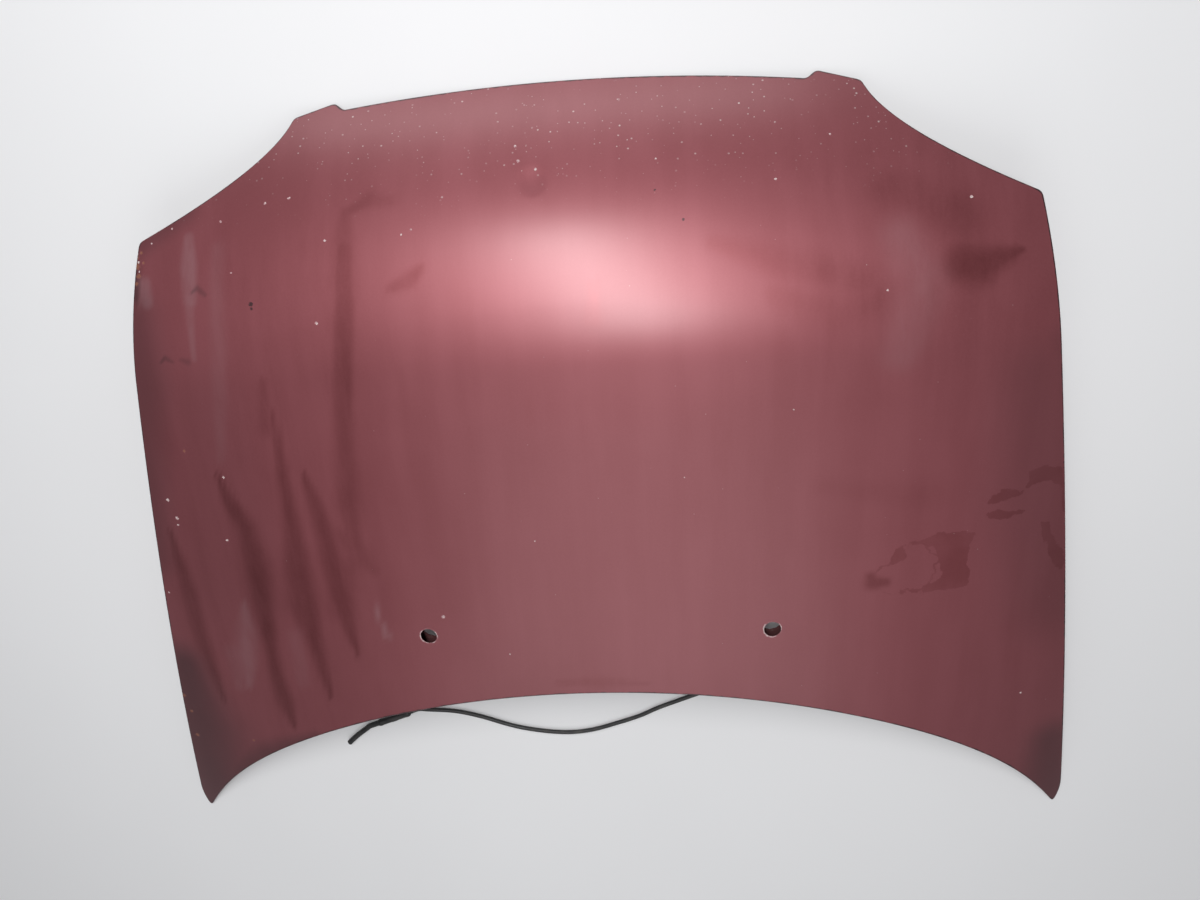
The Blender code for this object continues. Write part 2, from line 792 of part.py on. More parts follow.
def opening_corners(name):
    """Corners of an opening in plan, laid out between the frame's members."""
    rear = REAR_ARCH + REAR_MEMBER
    if name.endswith("outer"):
        rear = HINGE_PAD[1] + HINGE_PAD_HALF[1] + PAD_WALL + HINGE_MEMBER
    front = LENGTH - FRONT_MEMBER
    placed = []
    for across, along in OPENINGS[name][0]:
        y = rear + (front - rear) * along
        width = side_line(y) - SIDE_MEMBER - CENTRE_MEMBER
        placed.append(Vector((CENTRE_MEMBER + width * across, y)))
    return placed


def opening_loops(name):
    """Edge of an opening in the frame, the top of its wall and the foot of its wall."""
    edge = rounded_polygon(opening_corners(name), OPENINGS[name][1])
    top = inset_loop(edge, [-OPENING_FLANGE] * len(edge))
    foot = inset_loop(edge, [-OPENING_FLANGE - OPENING_WALL] * len(edge))
    return edge, top, foot


def build_frame():
    bm = bmesh.new()
    edge = outline()
    hem_lines = [HEM_RADIUS + hem_width(point) * HEM_LINE_SHARE for point in edge]
    rim = place_loop(bm, inset_loop(edge, [FLANGE_EDGE_INSET] * len(edge)), RIM_DEPTH)
    line = place_loop(bm, inset_loop(edge, hem_lines), RIM_DEPTH)
    add_band(bm, rim, line, True)
    top = place_loop(bm, frame_loop(WALL_TOP_INSETS), FLANGE_DEPTH)
    fill_rings(bm, [line, top])
    foot_insets = [inset + run for inset, run in zip(WALL_TOP_INSETS, WALL_RUN)]
    foot = place_loop(bm, frame_loop(foot_insets), FLOOR_DEPTH)
    add_band(bm, top, foot)
    inside = []
    for name in OPENINGS:
        for side in (1, -1):
            loops = opening_loops(name)
            if side < 0:
                loops = [mirrored_loop(loop) for loop in loops]
            opening_edge = place_loop(bm, loops[0], FLANGE_DEPTH)
            wall_top = place_loop(bm, loops[1], FLANGE_DEPTH)
            wall_foot = place_loop(bm, loops[2], FLOOR_DEPTH)
            add_band(bm, wall_top, opening_edge)
            add_band(bm, wall_foot, wall_top)
            inside.append(wall_foot)
    for centre in (HINGE_PAD, mirrored(HINGE_PAD)):
        inside.append(place_loop(bm, rounded_box(centre, HINGE_PAD_HALF, PAD_ROUNDING, PAD_WALL), FLOOR_DEPTH))
        pad = place_loop(bm, rounded_box(centre, HINGE_PAD_HALF, PAD_ROUNDING), HINGE_PAD_DEPTH)
        add_band(bm, inside[-1], pad)
        holes = [place_loop(bm, circle(hole, HINGE_HOLE_RADIUS, 12), HINGE_PAD_DEPTH)
                 for hole in hinge_holes(centre)]
        fill_rings(bm, [pad] + holes)
    dish = rounded_box(LOCK_PAD, LOCK_PAD_HALF, PAD_ROUNDING, LOCK_WALL, LOCK_WALL_REAR)
    inside.append(place_loop(bm, dish, FLOOR_DEPTH))
    pad = place_loop(bm, rounded_box(LOCK_PAD, LOCK_PAD_HALF, PAD_ROUNDING), 2 * FLOOR_DEPTH)
    add_band(bm, inside[-1], pad)
    holes = [place_loop(bm, circle(hole, STRIKER_HOLE_RADIUS, 12), 2 * FLOOR_DEPTH)
             for hole in striker_holes()]
    relief = rounded_box(LOCK_PAD, STRIKER_RELIEF_HALF, 0.006)
    holes.append(place_loop(bm, relief, 2 * FLOOR_DEPTH))
    fill_rings(bm, [pad] + holes)
    for centre, radius, count in frame_holes():
        inside.append(place_loop(bm, circle(centre, radius + HOLE_SEAT, count), FLOOR_DEPTH))
        add_band(bm, inside[-1], place_loop(bm, circle(centre, radius, count), FLOOR_DEPTH))
    fill_rings(bm, [foot] + inside)
    cut_in_strips(bm)
    face_up(bm)
    drape_frame(bm)
    bm.normal_update()
    frame = finish("inner_frame", mesh_from(bm, "inner_frame"), "frame_paint")
    add_solidify(frame, FRAME_SHEET)


def frame_holes():
    """Round holes in the floor of the frame: centre, radius and number of points."""
    plug_hole = PLUG_NECK_RADIUS + CLEARANCE
    return (
        (JET, JET_ACCESS_RADIUS, 12),
        (mirrored(JET), JET_ACCESS_RADIUS, 12),
        (BUFFER, plug_hole, 8),
        (mirrored(BUFFER), plug_hole, 8),
        (STAY_SOCKET, STAY_SOCKET_HOLE_RADIUS, 12),
        (GROMMET, GROMMET_HOLE_RADIUS, 10),
    )


# Plates, nuts and bolts

def nut(name, matrix, low):
    body = cylinder(name, NUT_ACROSS_FLATS / 2 / math.cos(math.pi / 6), low, low + NUT_HEIGHT, 6,
                    matrix, "zinc")
    bore = cylinder(name + "_bore", NUT_BORE_RADIUS, low - 0.001, low + NUT_HEIGHT + 0.001, 12,
                    matrix, "zinc", cutters)
    add_boolean(body, bore, "DIFFERENCE")


def build_hinge_plates():
    half = [size - HINGE_PLATE_MARGIN for size in HINGE_PAD_HALF]
    for side, centre in (("right", HINGE_PAD), ("left", mirrored(HINGE_PAD))):
        axes = seat(*centre, HINGE_PAD_DEPTH)
        outer = rounded_box((0, 0), half, PAD_ROUNDING)
        holes = [circle(hole, HINGE_HOLE_RADIUS, 12) for hole in hinge_holes((0, 0))]
        plate("hinge_reinforcement_" + side, [outer] + holes, HINGE_PLATE, axes, "frame_paint", CLEARANCE)
        for end, hole in zip(("rear", "front"), hinge_holes((0, 0))):
            spot = axes @ Matrix.Translation((hole[0], hole[1], 0))
            nut("hinge_nut_" + side + "_" + end, spot, 2 * CLEARANCE + HINGE_PLATE)


def build_lock():
    axes = lock_seat()
    spots = [(x, 0.0) for x in (-STRIKER_BOLT_SPACING / 2, STRIKER_BOLT_SPACING / 2)]
    half = [size - HINGE_PLATE_MARGIN for size in LOCK_PAD_HALF]
    inner_holes = [circle(spot, STRIKER_HOLE_RADIUS, 12) for spot in spots]
    plate("latch_reinforcement", [rounded_box((0, 0), half, PAD_ROUNDING)] + inner_holes, LOCK_PLATE,
          axes, "frame_paint", CLEARANCE)
    legs = [(0.0, y) for y in (-STRIKER_LEG_SPACING / 2, STRIKER_LEG_SPACING / 2)]
    plate_low = -FRAME_SHEET - CLEARANCE - STRIKER_PLATE
    loops = [rounded_box((0, 0), STRIKER_PLATE_HALF, PAD_ROUNDING)]
    loops += [circle(spot, STRIKER_HOLE_RADIUS, 12) for spot in spots]
    loops += [circle(leg, STRIKER_WIRE_RADIUS + 2 * CLEARANCE, 12) for leg in legs]
    plate("striker_plate", loops, STRIKER_PLATE, axes, "zinc", plate_low)
    for side, spot in zip(("left", "right"), spots):
        place = axes @ Matrix.Translation((spot[0], spot[1], 0))
        nut("striker_nut_" + side, place, 2 * CLEARANCE + LOCK_PLATE)
        under = plate_low - CLEARANCE
        top = 2 * CLEARANCE + LOCK_PLATE + NUT_HEIGHT
        bolt = cylinder("striker_bolt_" + side, BOLT_RADIUS, under - 0.0005, top, 12, place, "zinc")
        flange = cylinder("striker_bolt_flange_" + side, BOLT_FLANGE_RADIUS, under - BOLT_FLANGE_HEIGHT,
                          under, 20, place, "zinc", cutters)
        head = cylinder("striker_bolt_head_" + side, BOLT_HEAD_ACROSS_FLATS / 2 / math.cos(math.pi / 6),
                        under - BOLT_HEAD_HEIGHT, under - BOLT_FLANGE_HEIGHT / 2, 6, place, "zinc", cutters)
        add_boolean(bolt, flange, "UNION")
        add_boolean(bolt, head, "UNION")
    build_striker_loop(axes, plate_low)


def build_striker_loop(axes, plate_low):
    """Wire loop with both legs through the striker plate."""
    reach = STRIKER_LEG_SPACING / 2
    top = -CLEARANCE
    bottom = plate_low - STRIKER_DROP
    route = [(-reach, top)]
    for step in range(5):
        angle = math.pi + math.pi / 2 * step / 4
        route.append((-reach + STRIKER_BEND + STRIKER_BEND * math.cos(angle),
                      bottom + STRIKER_BEND + STRIKER_BEND * math.sin(angle)))
    route += [(-y, z) for y, z in reversed(route)]
    item = tube("striker_loop", [Vector((0, y, z)) for y, z in route], STRIKER_WIRE_RADIUS, "zinc", 3)
    item.matrix_local = axes


# Rubber and plastic fittings

def fitting_axes(centre):
    """Axes on the lower face of the frame's floor, Z towards the skin."""
    return seat(centre[0], centre[1], FLOOR_DEPTH + FRAME_SHEET)


def build_buffers():
    neck = PLUG_NECK_RADIUS - CLEARANCE
    above = FRAME_SHEET + 2 * CLEARANCE
    low = -CLEARANCE - BUFFER_HEIGHT
    profile = (
        (0.0, above + PLUG_HEAD_HEIGHT),
        (PLUG_NECK_RADIUS * 0.6, above + PLUG_HEAD_HEIGHT),
        (PLUG_HEAD_RADIUS, above),
        (neck, above),
        (neck, -CLEARANCE),
        (BUFFER_RADIUS, -CLEARANCE),
        (BUFFER_RADIUS, low * 0.45),
        (BUFFER_RADIUS * 0.86, low * 0.8),
        (BUFFER_RADIUS * 0.55, low),
        (0.0, low),
    )
    turned("buffer_right", profile, fitting_axes(BUFFER), "rubber")
    turned("buffer_left", profile, fitting_axes(mirrored(BUFFER)), "rubber")


def lipped_bush(name, centre, hole_radius, bore_radius, material):
    """Bush with a groove that takes the edge of its hole in the frame."""
    groove = hole_radius - 2 * CLEARANCE
    lip = hole_radius + FITTING_LIP
    above = FRAME_SHEET + CLEARANCE
    profile = (
        (bore_radius, above + FITTING_LIP_HEIGHT),
        (lip - 0.001, above + FITTING_LIP_HEIGHT),
        (lip, above),
        (groove, above),
        (groove, -CLEARANCE),
        (lip, -CLEARANCE),
        (lip - 0.001, -CLEARANCE - FITTING_LIP_HEIGHT),
        (bore_radius, -CLEARANCE - FITTING_LIP_HEIGHT),
    )
    turned(name, profile, fitting_axes(centre), material)


def build_mastic():
    """Pads of adhesive between the openings' flanges and the skin."""
    low = SKIN_SHEET + MASTIC_CLEARANCE
    high = FLANGE_DEPTH - CLEARANCE
    for name in OPENINGS:
        corners = opening_corners(name)
        middle = inset_loop(corners, [-OPENING_FLANGE / 2] * len(corners))
        for place, index in (("rear", 0), ("front", 2)):
            centre = (middle[index] + middle[index + 1]) / 2
            run = (middle[index + 1] - middle[index]).normalized()
            for side, sign in (("right", 1), ("left", -1)):
                bm = bmesh.new()
                bmesh.ops.create_cone(bm, cap_ends=True, segments=10, radius1=0.5, radius2=0.5, depth=1.0)
                for vertex in bm.verts:
                    along = run * vertex.co.x * MASTIC_LENGTH
                    aside = Vector((-run.y, run.x)) * vertex.co.y * MASTIC_WIDTH
                    spot = centre + along + aside
                    depth = low + (high - low) * (0.5 - vertex.co.z)
                    vertex.co = under_skin(spot.x * sign, spot.y, depth)
                if sign < 0:
                    bmesh.ops.reverse_faces(bm, faces=bm.faces)
                label = "mastic_" + name + "_" + place + "_" + side
                finish(label, mesh_from(bm, label), "mastic")


# Washer hose

def smooth_route(points, spacing, lowest):
    """Evenly spaced points on a Catmull-Rom curve through the route's own points, kept off the floor."""
    fine = []
    for index in range(len(points) - 1):
        before = points[index - 1] if index else points[0] * 2 - points[1]
        start, end = points[index], points[index + 1]
        after = points[index + 2] if index + 2 < len(points) else end * 2 - start
        for step in range(12):
            t = step / 12
            fine.append(0.5 * ((2 * start) + (end - before) * t
                               + (2 * before - 5 * start + 4 * end - after) * t ** 2
                               + (3 * start - before - 3 * end + after) * t ** 3))
    fine.append(points[-1])
    for point in fine:
        point.z = max(point.z, lowest)
    total = sum((b - a).length for a, b in zip(fine, fine[1:]))
    return spread(fine, max(2, round(total / spacing)))


def tube(name, points, radius, material, resolution=2):
    """Round tube along a polyline, as a mesh with closed ends."""
    data = bpy.data.curves.new(name + "_line", "CURVE")
    data.dimensions = "3D"
    data.bevel_depth = radius
    data.bevel_resolution = resolution
    data.use_fill_caps = True
    line = data.splines.new("POLY")
    line.points.add(len(points) - 1)
    for target, point in zip(line.points, points):
        target.co = (*point, 1)
    curve = bpy.data.objects.new(name + "_line", data)
    bonnet.objects.link(curve)
    bpy.context.view_layer.update()
    evaluated = curve.evaluated_get(bpy.context.evaluated_depsgraph_get())
    mesh = bpy.data.meshes.new_from_object(evaluated)
    bpy.data.objects.remove(curve, do_unlink=True)
    bm = bmesh.new()
    bm.from_mesh(mesh)
    bmesh.ops.remove_doubles(bm, verts=bm.verts, dist=0.00005)
    bmesh.ops.recalc_face_normals(bm, faces=bm.faces)
    bpy.data.meshes.remove(mesh)
    return finish(name, mesh_from(bm, name), material)


def build_hose():
    axes = fitting_axes(GROMMET)
    levels = (HOSE_IN_FRAME, HOSE_IN_FRAME / 2, 0, -HOSE_STRAIGHT / 2, -HOSE_STRAIGHT)
    way_out = [axes @ Vector((0, 0, level)) for level in levels]
    joiner_start = Vector((*JOINER_START, JOINER_RADIUS))
    joiner_end = Vector((*JOINER_END, JOINER_RADIUS))
    run = (joiner_end - joiner_start).normalized()
    loop = [Vector(point) for point in HOSE_LOOP]
    way_in = [joiner_start - run * HOSE_STEP, joiner_start - run * CLEARANCE]
    tube("washer_hose", smooth_route(way_out + loop + way_in, HOSE_STEP, HOSE_RADIUS), HOSE_RADIUS, "hose")
    leaving = [joiner_end + run * CLEARANCE, joiner_end + run * HOSE_STEP]
    stub = leaving + [Vector(point) for point in STUB_ROUTE]
    tube("hose_stub", smooth_route(stub, HOSE_STEP, STUB_RADIUS), STUB_RADIUS, "hose", 3)
    length = (joiner_end - joiner_start).length
    profile = (
        (0.0, length),
        (JOINER_END_RADIUS, length),
        (JOINER_RADIUS, length - JOINER_TAPER),
        (JOINER_RADIUS, JOINER_TAPER),
        (JOINER_END_RADIUS, 0.0),
        (0.0, 0.0),
    )
    turn = run.to_track_quat("Z", "Y").to_matrix().to_4x4()
    turned("hose_joiner", profile, Matrix.Translation(joiner_start) @ turn, "rubber")


build_skin()
build_frame()
build_hinge_plates()
build_lock()
build_buffers()
lipped_bush("stay_socket", STAY_SOCKET, STAY_SOCKET_HOLE_RADIUS, STAY_SOCKET_BORE_RADIUS, "plastic")
lipped_bush("hose_grommet", GROMMET, GROMMET_HOLE_RADIUS, HOSE_RADIUS + 2 * CLEARANCE, "rubber")
build_mastic()
build_hose()
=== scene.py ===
# Car bonnet lying on its tips and nose, with its washer hose trailing out behind it
import math

import bmesh
import bpy
from mathutils import Matrix, Vector
from mathutils.kdtree import KDTree


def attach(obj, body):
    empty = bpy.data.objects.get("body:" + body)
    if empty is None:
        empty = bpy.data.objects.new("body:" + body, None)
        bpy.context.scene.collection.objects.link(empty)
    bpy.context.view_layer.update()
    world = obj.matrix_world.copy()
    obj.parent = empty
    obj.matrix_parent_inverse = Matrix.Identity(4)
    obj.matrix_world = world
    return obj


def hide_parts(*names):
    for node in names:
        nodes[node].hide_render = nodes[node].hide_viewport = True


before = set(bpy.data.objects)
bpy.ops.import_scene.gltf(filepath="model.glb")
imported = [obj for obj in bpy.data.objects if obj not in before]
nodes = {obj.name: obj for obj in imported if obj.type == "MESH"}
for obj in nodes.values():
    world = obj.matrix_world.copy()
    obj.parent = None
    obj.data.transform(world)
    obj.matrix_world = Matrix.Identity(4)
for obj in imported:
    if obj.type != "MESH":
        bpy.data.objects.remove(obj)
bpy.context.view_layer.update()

print("frame loaded:", len(nodes), "nodes")


# small helpers

def deselectAll():
    for item in list(bpy.context.selected_objects):
        item.select_set(False)
    bpy.context.view_layer.objects.active = None


def activate(item):
    deselectAll()
    item.select_set(True)
    bpy.context.view_layer.objects.active = item


def applyModifiers(item):
    activate(item)
    for modifier in list(item.modifiers):
        bpy.ops.object.modifier_apply(modifier=modifier.name)


def smoothShade(item, degrees=35):
    activate(item)
    bpy.ops.object.shade_smooth_by_angle(angle=math.radians(degrees))


def dress(item, *materials):
    item.data.materials.clear()
    for material in materials:
        item.data.materials.append(material)


def thicken(item, thickness, innerSlot=0):
    # gives a sheet its thickness, on its inner side
    wall = item.modifiers.new("sheet", "SOLIDIFY")
    wall.thickness = thickness
    wall.offset = -1
    wall.material_offset = wall.material_offset_rim = innerSlot
    applyModifiers(item)
    smoothShade(item, 50)


def selectFaces(item, wanted):
    # picks the faces whose middle is wanted
    form = bmesh.from_edit_mesh(item.data)
    for face in form.faces:
        face.select_set(wanted(face.calc_center_median()))
    bmesh.update_edit_mesh(item.data)


def newObject(name, data):
    item = bpy.data.objects.new(name, data)
    bpy.context.scene.collection.objects.link(item)
    return item


# camera

cameraSettings = {
    "place": (0.1136, 0.4078, 1.1955),
    "right": (0.99582, -0.05926, -0.06953),
    "up": (0.03644, 0.95557, -0.2925),
    "back": (0.08378, 0.28874, 0.95373),
    "lens": 27.842,        # mm
    "sensor": 36,          # mm
    "nearest": 0.01,
}


def makeCamera(settings):
    data = bpy.data.cameras.new("camera")
    data.lens = settings["lens"]
    data.sensor_width = settings["sensor"]
    data.sensor_fit = "HORIZONTAL"
    data.clip_start = settings["nearest"]
    camera = newObject("camera", data)
    turn = Matrix((settings["right"], settings["up"], settings["back"])).transposed()
    camera.matrix_world = Matrix.Translation(settings["place"]) @ turn.to_4x4()
    bpy.context.scene.camera = camera


makeCamera(cameraSettings)
print("camera placed")


# node materials

class Wiring:
    # short names for the nodes of one material
    def __init__(self, name):
        self.material = bpy.data.materials.new(name)
        self.material.use_nodes = True
        self.tree = self.material.node_tree
        self.shader = self.tree.nodes["Principled BSDF"]
        self.place = self.add("ShaderNodeTexCoord", {}).outputs["Object"]

    def add(self, kind, inputs, **values):
        node = self.tree.nodes.new(kind)
        for key, value in values.items():
            setattr(node, key, value)
        for key, value in inputs.items():
            self.put(node.inputs[key], value)
        return node

    def put(self, socket, value):
        if isinstance(value, bpy.types.NodeSocket):
            self.tree.links.new(value, socket)
        elif isinstance(value, tuple) and len(value) == 3 and socket.type == "RGBA":
            socket.default_value = (*value, 1)
        else:
            socket.default_value = value

    def noise(self, scale, detail, roughness=0.5, stretch=None):
        source = self.place
        if stretch:
            source = self.add("ShaderNodeMapping", {"Scale": stretch, "Vector": source}).outputs["Vector"]
        inputs = {"Vector": source, "Scale": scale, "Detail": detail, "Roughness": roughness}
        return self.add("ShaderNodeTexNoise", inputs).outputs["Fac"]

    def ramp(self, value, low, high, toLow=0.0, toHigh=1.0):
        inputs = {"Value": value, "From Min": low, "From Max": high, "To Min": toLow, "To Max": toHigh}
        return self.add("ShaderNodeMapRange", inputs, interpolation_type="SMOOTHSTEP").outputs["Result"]

    def math(self, operation, first, second=0.0, clamp=False):
        node = self.add("ShaderNodeMath", {0: first, 1: second}, operation=operation, use_clamp=clamp)
        return node.outputs[0]

    def times(self, first, second):
        return self.math("MULTIPLY", first, second)

    def plus(self, first, second, clamp=False):
        return self.math("ADD", first, second, clamp)

    def most(self, first, second):
        return self.math("MAXIMUM", first, second)

    def mix(self, share, first, second):
        return self.add("ShaderNodeMix", {0: share, 6: first, 7: second}, data_type="RGBA").outputs[2]

    def field(self, name):
        return self.add("ShaderNodeAttribute", {}, attribute_name=name).outputs["Fac"]

    def bump(self, height, strength, distance, before=None):
        inputs = {"Strength": strength, "Distance": distance, "Height": height}
        if before is not None:
            inputs["Normal"] = before
        return self.add("ShaderNodeBump", inputs).outputs["Normal"]

    def finish(self, color, roughness, metallic=0.0, normal=None):
        inputs = {"Base Color": color, "Roughness": roughness, "Metallic": metallic}
        if normal is not None:
            inputs["Normal"] = normal
        for name, value in inputs.items():
            self.put(self.shader.inputs[name], value)
        return self.material


# plainer finishes: two colours in clouds, with fine grain, and specks of a third colour on some

finishes = {        # cloud and grain: scale, detail and roughness of a noise
    "hoseRubber": {
        "cloud": (60, 4, 0.5), "blend": (0.45, 0.75), "colors": ((0.012, 0.012, 0.013), (0.045, 0.042, 0.04)),
        "roughness": (0.42, 0.62), "grain": (900, 2, 0.5), "bump": (0.15, 0.0004),
    },
    "thinPaint": {
        "cloud": (6, 5, 0.6), "blend": (0.35, 0.7), "colors": ((0.15, 0.03, 0.037), (0.215, 0.085, 0.09)),
        "roughness": (0.4, 0.6), "metallic": 0.25, "grain": (300, 3, 0.6), "bump": (0.06, 0.0005),
        "specks": (0.5, 0.75, 0.0, 0.3), "speckColor": (0.26, 0.2, 0.19),
    },
    "frameUndercoat": {
        "cloud": (7, 5, 0.6), "blend": (0.35, 0.7), "colors": ((0.085, 0.016, 0.02), (0.16, 0.075, 0.075)),
        "roughness": (0.42, 0.65), "metallic": 0.1, "grain": (240, 3, 0.6), "bump": (0.08, 0.0005),
        "specks": (0.55, 0.75, 0.0, 0.35), "speckColor": (0.22, 0.18, 0.16),
    },
    "dullZinc": {
        "cloud": (90, 4, 0.6), "blend": (0.4, 0.7), "colors": ((0.56, 0.55, 0.5), (0.36, 0.33, 0.28)),
        "roughness": (0.32, 0.52), "metallic": 0.95, "grain": (700, 2, 0.5), "bump": (0.1, 0.0003),
    },
    "blackRubber": {
        "cloud": (120, 4, 0.6), "blend": (0.45, 0.75),
        "colors": ((0.016, 0.016, 0.017), (0.06, 0.058, 0.055)),
        "roughness": (0.72, 0.72), "grain": (500, 3, 0.5), "bump": (0.2, 0.0004),
    },
    "blackNylon": {
        "cloud": (200, 3, 0.6), "blend": (0.5, 0.8), "colors": ((0.02, 0.02, 0.022), (0.07, 0.068, 0.066)),
        "roughness": (0.38, 0.55),
    },
    "greyMastic": {
        "cloud": (220, 4, 0.6), "blend": (0.3, 0.7), "colors": ((0.24, 0.23, 0.21), (0.38, 0.36, 0.33)),
        "roughness": (0.85, 0.85), "grain": (220, 4, 0.6), "bump": (0.5, 0.0012),
    },
}


def plainMaterial(name):
    settings = finishes[name]
    net = Wiring(name)
    cloud = net.noise(*settings["cloud"])
    color = net.mix(net.ramp(cloud, *settings["blend"]), *settings["colors"])
    normal = None
    if "grain" in settings:
        grain = net.noise(*settings["grain"])
        if "specks" in settings:
            color = net.mix(net.ramp(grain, *settings["specks"]), color, settings["speckColor"])
        normal = net.bump(grain, *settings["bump"])
    roughness = net.ramp(cloud, 0.3, 0.7, *settings["roughness"])
    return net.finish(color, roughness, settings.get("metallic", 0.0), normal)


# washer hose: the route's points are the ones that the CAD tube follows

hose = {
    "radius": 0.003,
    "route": [
        (0.1497, -0.1963, 0.0882), (0.1496, -0.1955, 0.0823), (0.1495, -0.1947, 0.0763),
        (0.1493, -0.1934, 0.0664), (0.1491, -0.1921, 0.0565), (0.166, -0.229, 0.02),
        (0.176, -0.252, 0.004), (0.18, -0.278, 0.003), (0.171, -0.303, 0.003),
        (0.149, -0.32, 0.003), (0.1149, -0.3336, 0.003), (0.0735, -0.3496, 0.003),
        (0.0436, -0.3635, 0.003), (0.0135, -0.374, 0.003), (-0.0319, -0.3871, 0.003),
        (-0.077, -0.3899, 0.003), (-0.1366, -0.3806, 0.003), (-0.1953, -0.3609, 0.003),
        (-0.2323, -0.3518, 0.0032), (-0.27, -0.348, 0.0045), (-0.2858, -0.3464, 0.0055),
        (-0.3006, -0.3516, 0.0055),
    ],
    "length": 0.667,
    "stubRadius": 0.004,
    "stubRoute": [
        (-0.3503, -0.3691, 0.0055), (-0.3651, -0.3743, 0.0055), (-0.37, -0.3785, 0.0045),
        (-0.386, -0.3905, 0.004), (-0.4006, -0.4034, 0.004),
    ],
    "stubLength": 0.0617,
    "bevelSteps": 4,
    "curveSteps": 10,
    "joinerStart": (-0.3009, -0.3517, 0.0055),
    "joinerEnd": (-0.35, -0.369, 0.0055),
    "joinerRadius": 0.0055,
    "joinerSides": 32,
    "joinerEndSize": 0.84,
    "joinerRings": [        # shares of the length, with the size there
        (0.06, 1.0), (0.1, 1.0), (0.14, 0.93), (0.4, 0.93), (0.44, 1.0),
        (0.56, 1.0), (0.6, 0.93), (0.86, 0.93), (0.9, 1.0), (0.94, 1.0),
    ],
    "joinerEdge": 0.0003,
}


def hoseCurve(name, points, radius, material):
    data = bpy.data.curves.new(name, "CURVE")
    data.dimensions = "3D"
    data.bevel_depth = radius
    data.bevel_resolution = hose["bevelSteps"]
    data.resolution_u = hose["curveSteps"]
    data.use_fill_caps = True
    spline = data.splines.new("BEZIER")
    spline.bezier_points.add(len(points) - 1)
    points = [Vector(point) for point in points]
    for index, knot in enumerate(spline.bezier_points):
        before = points[max(index - 1, 0)]
        after = points[min(index + 1, len(points) - 1)]
        lean = (after - before) / 6
        knot.co = points[index]
        knot.handle_left_type = knot.handle_right_type = "FREE"
        knot.handle_left = points[index] - lean
        knot.handle_right = points[index] + lean
        knot.handle_left.z = max(knot.handle_left.z, radius)
        knot.handle_right.z = max(knot.handle_right.z, radius)
    item = newObject(name, data)
    dress(item, material)
    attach(item, "root")
    return item


def makeHose(settings):
    rubber = plainMaterial("hoseRubber")
    line = hoseCurve("washerHose", settings["route"], settings["radius"], rubber)
    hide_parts("washer_hose")
    stub = hoseCurve("hoseStub", settings["stubRoute"], settings["stubRadius"], rubber)
    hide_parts("hose_stub")
    start, end = Vector(settings["joinerStart"]), Vector(settings["joinerEnd"])
    length = (end - start).length
    deselectAll()
    bpy.ops.mesh.primitive_cylinder_add(vertices=settings["joinerSides"], radius=settings["joinerRadius"],
                                        depth=length)
    joiner = bpy.context.active_object
    joiner.name = "hoseJoiner"
    bpy.ops.object.mode_set(mode="EDIT")
    bpy.ops.mesh.select_all(action="SELECT")
    form = bmesh.from_edit_mesh(joiner.data)
    # rings along the sleeve, narrower at both ends and over its two grooves
    for share, size in settings["joinerRings"]:
        bmesh.ops.bisect_plane(form, geom=form.verts[:] + form.edges[:] + form.faces[:],
                               plane_co=(0, 0, (share - 0.5) * length), plane_no=(0, 0, 1))
    for vertex in form.verts:
        place = vertex.co.z / length + 0.5
        size = settings["joinerEndSize"]
        for share, ringSize in settings["joinerRings"]:
            if abs(share - place) < 0.005:
                size = ringSize
        vertex.co.x *= size
        vertex.co.y *= size
    turn = (end - start).to_track_quat("Z", "Y").to_matrix().to_4x4()
    form.transform(Matrix.Translation((start + end) / 2) @ turn)
    bmesh.update_edit_mesh(joiner.data)
    bpy.ops.object.mode_set(mode="OBJECT")
    bevel = joiner.modifiers.new("edges", "BEVEL")
    bevel.width = settings["joinerEdge"]
    bevel.segments = 2
    bevel.limit_method = "ANGLE"
    applyModifiers(joiner)
    smoothShade(joiner)
    dress(joiner, rubber)
    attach(joiner, "root")
    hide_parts("hose_joiner")


makeHose(hose)
print("hose laid")


# outer skin: plan outline and crown as in the CAD, in metres

panel = {
    "length": 1.028,
    "tipHalfSpacing": 0.642,
    "tipCrop": 0.0036,
    "rearArch": 0.243,
    "archSquare": 0.7,
    "archFourth": 0.11,
    "sideHalfWidth": 0.6542,
    "tipFlareLength": 0.045,
    "corner": (0.533, 0.87),
    "lampCutPull": (0.363, 0.948),
    "earOuter": (0.343, 1.005),
    "earInner": (0.292, 1.02),
    "earFoot": (0.28, 1.011),
    "tipRounding": 0.009,
    "cornerRounding": 0.006,
    "earRounding": 0.005,
    "footRounding": 0.004,
    "edgeReference": 0.65,
    "sideDrop": 0.049,
    "sideRollShare": 0.4,
    "lengthDrop": 0.114,
    "noseStart": 0.7,
    "noseDrop": 0.142,
    "tipSeat": 0.00236,
    "noseSeat": 0.00119,
    "crownFrom": 0.1335,   # height from which the crown is eased a little
    "crownShare": 0.87,
    "sheet": 0.0008,
    "hemRadius": 0.00145,
    "hemSteps": 6,
    "hemWidth": 0.0085,
    "hemLeast": 0.0008,
    "hemTaperTip": 0.12,   # growth of the hem's width with the distance from a tip
    "hemTaper": 0.6,      # and from the other corners
    "mitreLimit": 0.5,
    "columns": 96,         # grid columns from the middle to the side
    "rows": 130,
    "bendSteps": 6,
    "earBendSteps": 4,
    "lampSteps": 30,
    "earSteps": 5,
    "sideCrowding": 1.5,
    "jet": (0.227, 0.34),
    "jetRadius": 0.011,
    "jetFine": 2.4,        # finer faces out to this many radii
    "jetLip": 1.5,
    "jetCuts": 4,
}


